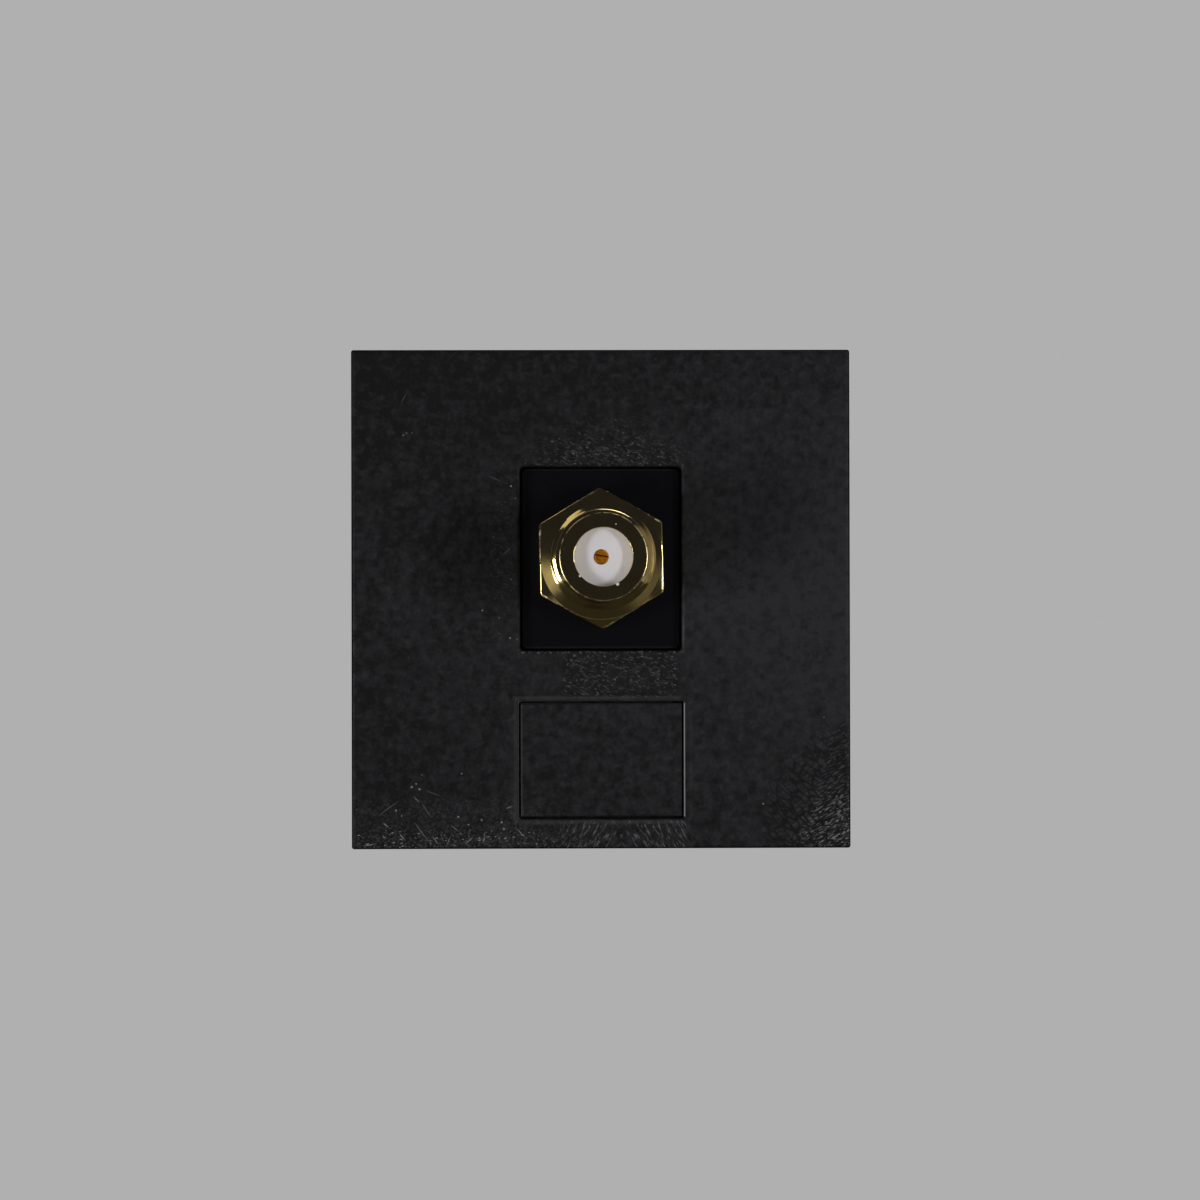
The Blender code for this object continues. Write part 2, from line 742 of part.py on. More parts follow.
def build():
    """Make every piece of the outlet where it sits when assembled."""
    clear_scene()
    grained_black = plastic("grained_black_plastic", (0.013, 0.013, 0.014), 0.6)
    inner_black = plastic("inner_black_plastic", (0.011, 0.011, 0.012), 0.5)
    polished_black = plastic("polished_black_plastic", (0.006, 0.006, 0.007), 0.15)
    white_insulator = plastic("white_insulator", (0.80, 0.77, 0.78), 0.45)
    gold_plate = metal("gold_plated_brass", (0.62, 0.50, 0.24), 0.2)
    bronze = metal("contact_bronze", (0.62, 0.33, 0.10), 0.35)
    nickel = metal("nickel_plate", (0.60, 0.58, 0.53), 0.3)

    module = empty("module", (0, 0, 0))
    axis = empty("socket_axis", (0, 0, AXIS_HEIGHT))
    axis.parent = module

    front_cover(module, grained_black)
    label_plate(module, grained_black)
    carrier_frame(module, inner_black)
    snap_insert(axis, polished_black)
    connector_shell(axis, gold_plate)
    insulator("front_insulator", axis, front_insulator_face, 1, white_insulator)
    insulator("rear_insulator", axis, rear_insulator_face, -1, white_insulator)
    spacer_sleeve(axis, white_insulator)
    contact_tube(axis, gold_plate)
    contact_spring("front_contact_spring", axis, front_insulator_face, 1, bronze)
    contact_spring("rear_contact_spring", axis, rear_insulator_face, -1, bronze)
    spring_washer(axis, nickel)
    jam_nut(axis, gold_plate)


build()
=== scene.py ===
# %% [markdown]
# # A coaxial television outlet, dressed for a studio photograph
#
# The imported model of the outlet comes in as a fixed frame. Its solids say where every piece is. This
# script gives each of them its finish, replaces the ones whose real form is finer than the solid, such as
# the threaded shell, and sets up the camera and the lamps. Sizes below are in millimetres unless a line
# says otherwise, and they are turned into metres where a mesh is made.

# %% Load the frame
import functools
import math

import bmesh
import bpy
from mathutils import Matrix, Vector


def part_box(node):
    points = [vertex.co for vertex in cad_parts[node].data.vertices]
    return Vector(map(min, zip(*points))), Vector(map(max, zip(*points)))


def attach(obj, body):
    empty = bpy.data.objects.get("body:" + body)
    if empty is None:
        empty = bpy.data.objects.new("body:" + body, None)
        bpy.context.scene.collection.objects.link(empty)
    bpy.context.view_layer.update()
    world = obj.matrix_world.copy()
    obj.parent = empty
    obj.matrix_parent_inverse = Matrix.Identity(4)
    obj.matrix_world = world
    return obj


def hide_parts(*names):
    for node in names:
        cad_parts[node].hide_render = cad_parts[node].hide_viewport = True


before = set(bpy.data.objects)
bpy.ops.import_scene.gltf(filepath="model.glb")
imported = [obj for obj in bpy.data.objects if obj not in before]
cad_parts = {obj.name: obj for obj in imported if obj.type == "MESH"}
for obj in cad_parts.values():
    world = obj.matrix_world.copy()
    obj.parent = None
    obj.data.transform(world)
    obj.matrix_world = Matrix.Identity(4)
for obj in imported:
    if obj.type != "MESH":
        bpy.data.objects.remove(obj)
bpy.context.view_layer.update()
MM = 0.001
print("pieces in the frame:", ", ".join(sorted(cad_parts)))

# %% [markdown]
# ## Depths and heights
#
# X runs to the right, Z up and Y into the wall. The front of the module is its only visible side in the
# photograph, so most places are depths along Y. They are read from the boxes of the solids where a box
# gives them, so that a new pack moves the dressed pieces along.

# %% Read the places that everything is measured from
AXIS_HEIGHT = 3.65


def reach(node, axis, end):
    """One limit of a solid's box in millimetres: axis 0, 1 or 2, and end 0 for low or 1 for high."""
    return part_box(node)[end][axis] / MM


face = -6.0
barrel_front = reach("connector_shell", 1, 0)
barrel_back = reach("connector_shell", 1, 1)
insert_front = reach("snap_insert", 1, 0)
print("barrel from", round(barrel_front, 2), "to", round(barrel_back, 2), "mm")

# %% [markdown]
# ## The camera
#
# The photograph is taken from almost straight ahead with a long lens. The left side of the square is a
# little taller than the right one, and the end of the barrel sits a little to the right of its hexagon
# and above it, so the camera stands about a degree to the left and a little below the middle of the face.
# The 45 mm face fills 500 of the 1200 pixels, which sets the width of the view.

# %% Place the camera
CAMERA_DISTANCE = 0.40
CAMERA_LEFT = math.radians(1.26)
CAMERA_ABOVE = math.radians(-0.39)
CAMERA_ROLL = math.radians(-0.13)
VIEW_WIDTH = 0.10822
AIM = Vector((-0.000095, face * MM, -0.000083))

camera_data = bpy.data.cameras.new("camera")
camera_data.sensor_width = 36
camera_data.lens = camera_data.sensor_width * CAMERA_DISTANCE / VIEW_WIDTH
camera_data.clip_start = 0.01
camera = bpy.data.objects.new("camera", camera_data)
bpy.context.scene.collection.objects.link(camera)
towards = Vector((
    -math.sin(CAMERA_LEFT),
    -math.cos(CAMERA_LEFT) * math.cos(CAMERA_ABOVE),
    math.sin(CAMERA_ABOVE),
))
camera.location = AIM + towards * CAMERA_DISTANCE
facing = (-towards).to_track_quat("-Z", "Y").to_matrix().to_4x4()
camera.rotation_euler = (facing @ Matrix.Rotation(CAMERA_ROLL, 4, "Z")).to_euler()
bpy.context.scene.camera = camera
print("lens:", round(camera_data.lens, 1), "mm")

# %% [markdown]
# ## Shader maths in plain Python
#
# A finish is a formula over the surface. To write it as one, a `Field` wraps a node's output, and the
# usual operators on it add the Math node that does the sum. Every other node comes from `node`, which
# takes the kind of node, its settings and what goes into its sockets.

# %% Fields
class Field:
    """An output of a node that Python's operators work on."""

    def __init__(self, tree, socket):
        self.tree = tree
        self.socket = socket

    def math(self, operation, *others):
        """This field and others through one Math node."""
        return self.tree.node("Math", {"operation": operation}, dict(enumerate((self, *others))))

    def __add__(self, other):
        return self.math("ADD", other)

    __radd__ = __add__

    def __mul__(self, other):
        return self.math("MULTIPLY", other)

    __rmul__ = __mul__

    def __sub__(self, other):
        return self.math("SUBTRACT", other)

    def __rsub__(self, other):
        return self.tree.node("Math", {"operation": "SUBTRACT"}, {0: other, 1: self})

    def __truediv__(self, other):
        return self.math("DIVIDE", other)

    def __abs__(self):
        return self.math("ABSOLUTE")

    def above(self, low, high):
        """0 below the low value, 1 above the high one, and smooth between them."""
        settings = {"interpolation_type": "SMOOTHSTEP"}
        return self.tree.node("MapRange", settings, {0: self, 1: low, 2: high, 3: 0.0, 4: 1.0})

    def below(self, low, high):
        """1 below the low value, 0 above the high one, and smooth between them."""
        return 1 - self.above(low, high)


# %% The trees that they grow in
class Tree:
    """A node tree that fields grow in."""

    def __init__(self, tree):
        self.nodes = tree.nodes
        self.links = tree.links

    def node(self, kind, settings=None, values=None, output=0):
        """Add a node of a kind, set it up, and return one of its outputs as a field."""
        made = self.nodes.new("ShaderNode" + kind)
        for key, value in (settings or {}).items():
            setattr(made, key, value)
        for key, value in (values or {}).items():
            self.feed(made.inputs[key], value)
        return Field(self, made.outputs[output])

    def feed(self, socket, value):
        """Link a field to a socket, or set the socket to a plain value."""
        if isinstance(value, Field):
            self.links.new(value.socket, socket)
        elif socket.type == "RGBA":
            socket.default_value = (*value, 1)
        else:
            socket.default_value = value

    def blend(self, share, first, second):
        """Two colours mixed by a field: 0 gives the first and 1 the second."""
        return self.node("Mix", {"data_type": "RGBA"}, {0: share, 6: first, 7: second}, 2)

    def parts(self, place):
        """The three coordinates of a place, as fields."""
        return [self.node("SeparateXYZ", {}, {0: place}, axis) for axis in range(3)]

    def apart(self, first, second):
        """The distance between two places."""
        return self.node("VectorMath", {"operation": "DISTANCE"}, {0: first, 1: second}, "Value")


# %% A material as a tree
class Finish(Tree):
    """A material with a Principled surface, whose constant values are set on its own sockets."""

    def __init__(self, name, **values):
        self.material = bpy.data.materials.new(name)
        self.material.use_nodes = True
        super().__init__(self.material.node_tree)
        self.shader = self.nodes["Principled BSDF"]
        for key, value in values.items():
            self.shader.inputs[self.label(key)].default_value = value
        print("finish", name)

    def label(self, key):
        """The name of a socket from the word that stands for it in Python."""
        return key.replace("_", " ").title().replace("Ior", "IOR")

    def place(self, centre=(0, 0, 0)):
        """The point of the surface in millimetres, measured from a centre."""
        spot = self.node("TexCoord", output="Object")
        grown = self.node("VectorMath", {"operation": "SCALE"}, {0: spot, "Scale": 1 / MM})
        return self.node("VectorMath", {"operation": "SUBTRACT"}, {0: grown, 1: centre})

    def stretched(self, place, factors, turn=(0, 0, 0)):
        """A place turned and then stretched, so that a pattern can run along a direction."""
        turned = self.node(
            "VectorRotate", {"rotation_type": "EULER_XYZ"}, {"Vector": place, "Rotation": turn})
        return self.node("VectorMath", {"operation": "MULTIPLY"}, {0: turned, 1: factors})

    def noise(self, place, scale, detail=2.0, roughness=0.5, distortion=0.0):
        """Cloudy noise around a half, with about scale patches to the millimetre."""
        return self.node("TexNoise", {}, {
            "Vector": place, "Scale": scale, "Detail": detail, "Roughness": roughness,
            "Distortion": distortion,
        })

    def cells(self, place, scale):
        """The distance to the nearest of many scattered points, and a random number that goes with it."""
        distance = self.node("TexVoronoi", {}, {"Vector": place, "Scale": scale}, "Distance")
        colour = Field(self, distance.socket.node.outputs["Color"])
        return distance, self.node("SeparateColor", {}, {0: colour})

    def cracks(self, place):
        """The distance to the nearest border between the cells around scattered points."""
        return self.node("TexVoronoi", {"feature": "DISTANCE_TO_EDGE"}, {"Vector": place, "Scale": 1.0})

    def wear(self, **fields):
        """Feed fields to the shader's sockets."""
        for key, value in fields.items():
            self.feed(self.shader.inputs[self.label(key)], value)

    def overlaid(self, share, surface):
        """Lay another surface over the Principled one where a field says so."""
        own = Field(self, self.shader.outputs["BSDF"])
        mixed = self.node("MixShader", {}, {0: share, 1: own, 2: surface})
        self.feed(self.nodes["Material Output"].inputs["Surface"], mixed)

    def relief(self, height, depth, strength=1.0):
        """Raise the surface by a field, with depth in millimetres for a height of 1."""
        bumped = self.node("Bump", {}, {"Strength": strength, "Distance": depth * MM, "Height": height})
        self.feed(self.shader.inputs["Normal"], bumped)


# %% [markdown]
# ## The grained black of the cover
#
# The mould of such a cover is spark-eroded, so its face has a soft, cloudy grain that light from the side
# brings out. A used face is never even, though: it is brushed under the label, scratched along the lower
# left and creased like leather in the lower right corner. The creases have painted light on their ridges
# and painted shade in their cracks, and the glints in a cap above the opening and in a block below it are
# painted highlights. Each of those is a field, kept to its place by a patch. First come the helpers.

# %% Patches and marks on the face
def most(fields):
    """The greatest of several fields."""
    return functools.reduce(lambda first, second: first.math("MAXIMUM", second), fields)


def patch(x, z, middle, half_size, edge, power=2):
    """1 inside a patch of the face and 0 outside it: a power of 2 makes it oval, and 8 nearly square."""
    across = abs((x - middle[0]) / half_size[0]).math("POWER", power)
    up = abs((z - middle[1]) / half_size[1]).math("POWER", power)
    return (across + up).math("POWER", 1 / power).below(1 - edge, 1 + edge)


def outside(x, z, middle, half_size):
    """How far a point lies outside a rectangle of the face, in millimetres, and less than 0 inside it."""
    across = abs(x - middle[0]) - half_size[0]
    return across.math("MAXIMUM", abs(z - middle[1]) - half_size[1])


def stroke(x, z, start, end, width):
    """1 on a thin line between two points of the face, fading towards its ends."""
    length = math.dist(start, end)
    run_x, run_z = (end[0] - start[0]) / length, (end[1] - start[1]) / length
    right, up = x - start[0], z - start[1]
    run = (right * run_x + up * run_z) / length
    bow = (run - 0.5) * (run - 0.5) * 0.12
    beside = abs(right * run_z - up * run_x + bow)
    return beside.below(width * 0.2, width * 0.8) * run.above(0.0, 0.4) * run.below(0.5, 1.0)


def speck(finish, place, x, z, size):
    """1 on a small spot of the face and 0 around it."""
    return finish.apart(place, (x, face, z)).below(size * 0.6, size * 1.6)


def flecks(finish, place, spacing, share, size):
    """Flecks at random places, about one to a cell. A share of them shows, some brighter than others."""
    distance, chance = finish.cells(place, 1 / spacing)
    return distance.below(size * 0.4, size) * chance.above(1 - share, 1 - share * 0.3)


# %% [markdown]
# ## Scratches that have a place
#
# Grain and flecks may fall anywhere, but a long scratch catches the eye where it is. The ones that stand
# out in the photograph are written down by their ends, with a width and a brightness, and the brightest
# specks by their middles, with a size and a brightness.

# %% The scratches and specks that stand out
SCRATCHES = (
    ((-18.1, -18.0), (-20.4, -19.7), 0.06, 0.35), ((-17.0, -19.9), (-15.3, -22.2), 0.06, 0.55),
    ((-17.0, -17.7), (-16.3, -18.4), 0.06, 0.60), ((-15.8, -17.2), (-14.4, -17.8), 0.05, 0.35),
    ((-7.7, -20.6), (-6.8, -21.6), 0.07, 0.70), ((-19.7, -20.1), (-19.1, -20.6), 0.09, 0.80),
    ((-15.3, -21.3), (-14.6, -22.2), 0.07, 0.60), ((-14.6, -21.0), (-14.1, -22.1), 0.05, 0.35),
    ((-16.3, -18.2), (-15.2, -19.9), 0.05, 0.40), ((-18.3, -21.0), (-17.6, -21.8), 0.08, 0.60),
    ((-13.6, -20.3), (-12.8, -21.0), 0.07, 0.50), ((-8.7, -18.9), (-7.9, -18.6), 0.09, 0.50),
    ((-21.6, -22.2), (-20.2, -22.0), 0.08, 0.70), ((-11.5, -21.3), (-12.4, -22.2), 0.08, 0.60),
    ((-10.5, -21.2), (-10.7, -22.1), 0.09, 0.60), ((-13.6, -21.3), (-14.0, -22.3), 0.07, 0.50),
    ((-17.5, 18.7), (-18.1, 17.4), 0.09, 0.16), ((-10.3, 11.2), (-8.7, 10.5), 0.05, 0.30),
    ((-8.9, 3.9), (-8.0, 4.8), 0.09, 0.20),
)
SPECKS = (
    (-16.2, -15.8, 0.05, 0.4), (-12.6, -15.7, 0.06, 0.7), (-16.7, -16.6, 0.06, 0.9),
    (-17.1, -16.9, 0.08, 0.8), (-16.4, -17.1, 0.08, 0.8), (-18.5, -19.0, 0.07, 0.9),
    (-18.0, -19.5, 0.06, 0.6), (-12.9, -19.6, 0.07, 0.9), (-10.8, -19.9, 0.06, 0.9),
    (-9.0, -20.1, 0.08, 0.8), (-8.8, -20.7, 0.08, 0.8), (-12.0, -20.3, 0.06, 0.7),
    (-17.5, 15.0, 0.05, 0.5), (-17.8, 14.8, 0.06, 0.5), (-17.0, 15.0, 0.05, 0.4),
    (-8.1, 10.2, 0.07, 0.9), (-7.7, 9.1, 0.06, 0.4), (20.1, -10.7, 0.05, 0.5), (14.6, -18.5, 0.06, 0.9),
    (-10.7, -1.0, 0.06, 0.9), (-9.2, -1.7, 0.05, 0.6), (-9.2, -3.1, 0.05, 0.3),
    (-8.2, -3.5, 0.06, 0.8), (-7.6, -3.6, 0.07, 0.3), (-8.1, 1.8, 0.07, 0.3), (-9.7, 5.6, 0.07, 0.2),
)


def placed_marks(finish, place, x, z):
    """All the scratches and specks above as one field."""
    marks = None
    for start, end, width, bright in SCRATCHES:
        mark = stroke(x, z, start, end, width) * bright
        marks = mark if marks is None else marks + mark
    for across, up, size, bright in SPECKS:
        marks = marks + speck(finish, place, across, up, size) * bright
    return marks + flecks(finish, place, 3.1, 0.25, 0.02) * 0.5


print(len(SCRATCHES), "scratches and", len(SPECKS), "specks have a place")

# %% [markdown]
# ## Worn patches and painted glints
#
# Each patch is a middle, and half a width and height. The flecks in it are cells stretched along a
# direction. The creases of the corner are stretched cells too: a crack with painted shade runs along the
# border between two cells, and the inside of a cell is a ridge with painted light. The strokes under the
# label lean to both sides of a middle line, so the place is folded along that line.

# %% The glinting and brushed patches
CAP = ((0.6, 12.0), (6.9, 4.4))
BLOCK = ((1.7, -6.75), (5.2, 2.05))
BAND = ((-8.9, 3.5), (1.1, 8.0))
STRIP = ((2.2, -21.3), (5.8, 1.35))
STRIP_MIDDLE = 1.8


def glints(finish, place, x, z, ragged):
    """Painted glints in the cap above the opening, the block below it and the faint band to its left."""
    cap = patch(x, z + ragged * 0.9, *CAP, 0.30) * z.above(11.9, 12.1)
    lively = 0.50 + 0.50 * z.below(13.0, 15.5)
    block = patch(x + ragged * 0.4, z, *BLOCK, 0.08, 8)
    band = patch(x, z, *BAND, 0.5, 4) * 0.30
    leaning = finish.stretched(place, (0.8, 1.0, 1.7), (0, math.radians(-20), 0))
    rough = finish.noise(leaning, 3.4, 3.0, 0.75).above(0.50, 0.74)
    painted_sparkles = flecks(finish, leaning, 0.42, 0.35, 0.32)
    where = (cap * lively).math("MAXIMUM", block).math("MAXIMUM", band)
    return (rough * 0.30 + painted_sparkles * 0.36) * where, where


def brushed(finish, x, z):
    """The strokes under the label, which lean away from a middle line."""
    strip = patch(x, z, *STRIP, 0.08, 8)
    folded = finish.node("CombineXYZ", {}, {0: abs(x - STRIP_MIDDLE), 2: z})
    leaning = finish.stretched(folded, (3.6, 1.0, 0.75), (0, math.radians(28), 0))
    return finish.noise(leaning, 1.6, 3.0, 0.65).above(0.50, 0.72) * strip * 0.42


# %% The scuffed and creased corners
LOWER_LEFT = ((-13.3, -22.6), (9.8, 4.6))
LOWER_RIGHT = ((22.5, -22.5), (8.0, 11.0))
CORNER_TIP = ((22.5, -22.5), (4.0, 4.8))
DASHES = ((50, 0.30), (-35, 0.36), (10, 0.42))


def scuffed(finish, place, x, z, ragged):
    """The lower left, where the face has been slid over things: roughness, and dashes in three ways."""
    where = patch(x, z + ragged * 1.2, *LOWER_LEFT, 0.30, 4)
    low = (z + ragged * 1.2).below(-22.0, -20.4)
    rough = finish.noise(place, 4.2, 3.0, 0.8).above(0.47, 0.70)
    runs = (
        (finish.stretched(place, (0.55, 1.0, 1.9), (0, math.radians(turn), 0)), spacing)
        for turn, spacing in DASHES)
    dashes = most(flecks(finish, run, spacing, 0.42, spacing * 0.52) for run, spacing in runs)
    return (rough * (0.11 + low * 0.13) + dashes * (0.05 + low * 2.2)) * where


def creased(finish, place, x, z, ragged):
    """The leathery corner: painted light on its ridges and tip, painted shade in its cracks, and where it
    is.
    """
    where = patch(x, z + ragged, *LOWER_RIGHT, 0.16)
    tip = patch(x + ragged, z, *CORNER_TIP, 0.55)
    right = (x - z * 0.25 + ragged).above(23.4, 24.6)
    rising = finish.stretched(place, (1.0, 1.3, 4.0), (0, math.radians(30), 0))
    falling = finish.stretched(place, (0.72, 1.3, 1.9), (0, math.radians(-45), 0))
    bumps = finish.noise(rising, 1.3, 2.0).above(0.42, 0.68)
    to_rising, to_falling = finish.cracks(rising), finish.cracks(falling)
    to_crack = to_falling + (to_rising - to_falling) * right
    # The ridges and the sparkles at the tip are painted highlights, and the cracks are painted shade.
    ridges = to_crack.above(0.06, 0.24) * bumps
    painted_sparkles = flecks(finish, rising, 0.50, 0.6, 0.36) * tip
    light = ridges * (0.06 + right * 0.12 + tip * 0.42) + painted_sparkles * 1.20
    return light * where, to_crack.below(0.03, 0.15) * where * (0.82 + right * 0.18), where


# %% [markdown]
# ## All of it in one material
#
# The cloudy grain sets how light the black is, and painted light and shade make it lighter to the right
# and darker at the top and bottom. The marks and the painted highlights lighten it and lower its roughness,
# as a rubbed spot is smoother than the grain. The rim round the label has a painted highlight, brighter
# along its right side, and painted light lies in the gap left of the label. Along the edge of the cover a
# dull black lies over everything as painted shade. The marks stay on the front: the sides only have the
# grain.

# %% The rims of the label field and of the opening
LABEL_MIDDLE = (0.0, -14.5)
LABEL_HALF = (7.45, 5.3)
OPENING_MIDDLE = (0.0, AXIS_HEIGHT)
OPENING_HALF = (7.3, 8.31)


def rims(x, z, clouds, grain):
    """Painted highlights on the label's rim, its right wall, the gap beside it and the opening's lip."""
    past_label = outside(x, z, LABEL_MIDDLE, LABEL_HALF)
    # The rim round the label is a painted highlight of a rounding lit by the side lamps.
    rim = past_label.above(0.02, 0.12) * past_label.below(0.35, 0.55) * x.below(7.0, 7.4)
    # A painted highlight along the label's right wall, where light from the left falls on it.
    painted_wall_highlight = past_label.above(-0.02, 0.02) * past_label.below(0.07, 0.12) * x.above(7.3, 7.4)
    painted_wall_highlight = painted_wall_highlight * abs(z - LABEL_MIDDLE[1]).below(5.05, 5.15)
    gap = past_label.above(-0.26, -0.20) * past_label.below(0.0, 0.03)
    plate_edge = past_label.above(-0.42, -0.34) * past_label.below(-0.26, -0.20)
    # Painted light in the gap left of the label, faintly along its top, and on the plate's left edge.
    painted_gap_light = gap * (x.below(-7.25, -7.15) * 0.60 + z.above(-9.5, -9.4) * 0.15)
    painted_gap_light = painted_gap_light + plate_edge * x.below(-7.05, -6.95) * 0.045
    past_opening = outside(x, z, OPENING_MIDDLE, OPENING_HALF)
    # The opening's lip gets painted highlight along its right side and in sparkles along its bottom.
    lip = past_opening.above(-0.03, 0.05) * past_opening.below(0.16, 0.30) * (clouds - 0.3)
    lip = lip * (x.above(7.2, 7.3) * 0.25 + z.below(-4.65, -4.6) * grain.above(0.50, 0.66) * 1.6)
    return rim, painted_wall_highlight, painted_gap_light, lip


# %% The grained black
COVER_HALF = (22.5, 22.5)
# A patch of painted light on the right of the face, where the lamps fall more strongly.
PAINTED_LIGHT_RIGHT = ((22, 3), (14, 12))
DARK_GRAIN = (0.0008, 0.0008, 0.0014)
LIGHT_GRAIN = (0.0213, 0.0210, 0.0245)
# The grey of the real scratches and wear and of the painted highlights.
MARK_AND_HIGHLIGHT_GREY = (0.27, 0.27, 0.275)
# The colour of the painted shade on the cover's rounded edge.
PAINTED_EDGE_SHADE = (0.0015, 0.0015, 0.0015)


def grained_black():
    """The cover's and the label's black."""
    finish = Finish("grained_black_plastic", specular_ior_level=0.32, ior=1.5)
    place = finish.place()
    x, y, z = finish.parts(place)
    front = y.below(face + 0.30, face + 0.40)
    clouds = finish.noise(place, 1.25, 3.0, 0.62)
    blotches = finish.noise(place, 1.7, 1.0, 0.5).above(0.48, 0.76)
    grain = finish.noise(place, 4.5, 2.0, 0.6)
    ragged = finish.noise(place, 0.9, 3.0) - 0.5

    ridges, cracks, leathery = creased(finish, place, x, z, ragged)
    # The glint patches are painted highlights, darker between their glints.
    painted_glints, around = glints(finish, place, x, z, ragged)
    marks = painted_glints + brushed(finish, x, z)
    marks = marks + scuffed(finish, place, x, z, ragged) + placed_marks(finish, place, x, z) + ridges
    rim, painted_wall_highlight, painted_gap_light, lip = rims(x, z, clouds, grain)
    # A band of painted shade along the cover's edge, where its rounding falls dark.
    painted_edge_band = outside(x, z, (0, 0), COVER_HALF).above(-0.15, -0.09) * front

    # Real scratches, scuffs and specks, together with painted glints, lit ridges, and rim, wall, gap and
    # lip light.
    light = marks + painted_wall_highlight * 1.3 + rim * 0.055 + painted_gap_light + lip
    light = light.math("MINIMUM", 1.3) * front
    # Painted light and shade: the black is lighter towards the right and darker towards the top and bottom.
    side = x * 0.0095 - z * 0.0020 - abs(z) * 0.0135 + patch(x, z, *PAINTED_LIGHT_RIGHT, 0.8) * 0.17
    tone = (clouds - 0.5) * 2.2 + blotches * 0.34 + (grain - 0.5) * 0.45 + side + 0.50
    cracks = cracks * front
    # The cracks of the creased corner darken the black as painted shade.
    shade = (1 - cracks) * (1 - around * 0.62) * (1 - leathery * 0.05)
    dark = finish.blend(tone.math("MAXIMUM", 0.0) * shade, DARK_GRAIN, LIGHT_GRAIN)
    finish.wear(
        base_color=finish.blend(light, dark, MARK_AND_HIGHLIGHT_GREY),
        roughness=0.64 - (clouds - 0.5) * 0.35 - light * 0.10,
    )
    finish.relief(clouds * 0.5 + grain * 0.25 + ridges * 0.5 - cracks * 0.4, 0.06, 0.6)
    finish.overlaid(painted_edge_band, finish.node("BsdfDiffuse", {}, {"Color": PAINTED_EDGE_SHADE}))
    return finish.material


# %% [markdown]
# ## The other plastics
#
# The insert in the opening is smooth and glossy: its mould was polished, so it mirrors the dark room and
# looks nearly black. Its rounded edge is a little duller, and its colour is painted lighter there against
# the shade of the opening's wall, so that it doesn't read as a black line. The carrier behind the face is
# plain black, as it comes from the mould, with a faint flow of the material in it. The insulators are white
# turned plastic, a little translucent, with fine rings from the tool around the entry hole.

# %% The insert's gloss
INSERT_FLAT = (6.90, 7.91)


def polished_black():
    """The insert: glossy black with a slight waviness, duller and painted lighter along its rounded edge.
    """
    finish = Finish("polished_black_plastic", specular_ior_level=0.42, ior=1.5)
    place = finish.place()
    waves = finish.noise(place, 0.35, 2.0)
    dust = finish.noise(place, 6.0, 2.0, 0.7).above(0.68, 0.80)
    x, y, z = finish.parts(place)
    # Along the rounded edge the colour is painted lighter, against the shade of the opening's wall.
    edge = outside(x, z, OPENING_MIDDLE, INSERT_FLAT).above(0.0, 0.10) * y.below(face + 1.5, face + 2.0)
    plain = finish.blend(dust, (0.0044, 0.0043, 0.0056), (0.014, 0.014, 0.016))
    finish.wear(
        base_color=finish.blend(edge, plain, (0.0100, 0.0100, 0.0122)),
        roughness=waves * 0.08 + dust * 0.25 + edge * 0.3 + 0.16,
    )
    finish.relief(waves, 0.02, 0.25)
    return finish.material


# %% The carrier's black and the insulators' white
def moulded_black():
    """The carrier: plain black with flow marks."""
    finish = Finish("inner_black_plastic", specular_ior_level=0.4, ior=1.5)
    place = finish.place()
    flow = finish.noise(finish.stretched(place, (1.0, 0.25, 1.0)), 0.5, 3.0, 0.5, 0.8)
    grain = finish.noise(place, 7.0, 2.0)
    finish.wear(
        base_color=finish.blend(flow, (0.008, 0.008, 0.009), (0.015, 0.015, 0.016)),
        roughness=flow * 0.16 + grain * 0.06 + 0.42,
    )
    finish.relief(grain * 0.4 + flow, 0.02, 0.4)
    return finish.material


def white_insulator():
    """The insulators: white, faintly uneven, with rings from the lathe."""
    finish = Finish(
        "white_insulator", specular_ior_level=0.4, subsurface_weight=0.06, subsurface_scale=0.001)
    place = finish.place((0, 0, AXIS_HEIGHT))
    milk = finish.noise(place, 0.8, 2.0)
    rings = finish.node(
        "TexWave", {"wave_type": "RINGS", "rings_direction": "Y"},
        {"Vector": place, "Scale": 1.6, "Distortion": 0.6, "Detail": 1.0},
    )
    finish.wear(
        base_color=finish.blend(milk, (0.80, 0.765, 0.80), (0.86, 0.84, 0.85)),
        roughness=milk * 0.1 + 0.42,
    )
    finish.relief(rings, 0.004, 0.5)
    return finish.material


# %% [markdown]
# ## The metals
#
# The shell and the nut are turned from brass and flashed with gold. A lathe leaves fine rings, which are a
# wave around the socket's axis here, and handling leaves smudges in the gloss and the colour. The contact
# springs are bare bronze, rougher and more orange, and the washer is nickel.

# %% Metals
def turned_metal(name, bright, dull, gloss, groove):
    """A turned finish: rings around the axis, smudges in the gloss, and tarnish in the colour."""
    finish = Finish(name, metallic=1.0)
    place = finish.place((0, 0, AXIS_HEIGHT))
    smudge = finish.noise(place, 0.7, 3.0, 0.55, 0.5)
    scratch = finish.noise(finish.stretched(place, (1.0, 6.0, 1.0)), 2.5, 2.0, 0.6)
    rings = finish.node(
        "TexWave", {"wave_type": "RINGS", "rings_direction": "Y", "wave_profile": "SIN"},
        {"Vector": place, "Scale": 2.6, "Distortion": 1.2, "Detail": 2.0, "Detail Scale": 2.0},
    )
    finish.relief(rings * 0.7 + scratch * 0.3, groove)
    roughness = smudge * 0.06 + scratch.above(0.55, 0.8) * 0.06 + gloss
    colour = finish.blend(smudge.above(0.3, 0.75), bright, dull)
    finish.wear(base_color=colour, roughness=roughness)
    return finish, place, colour, roughness


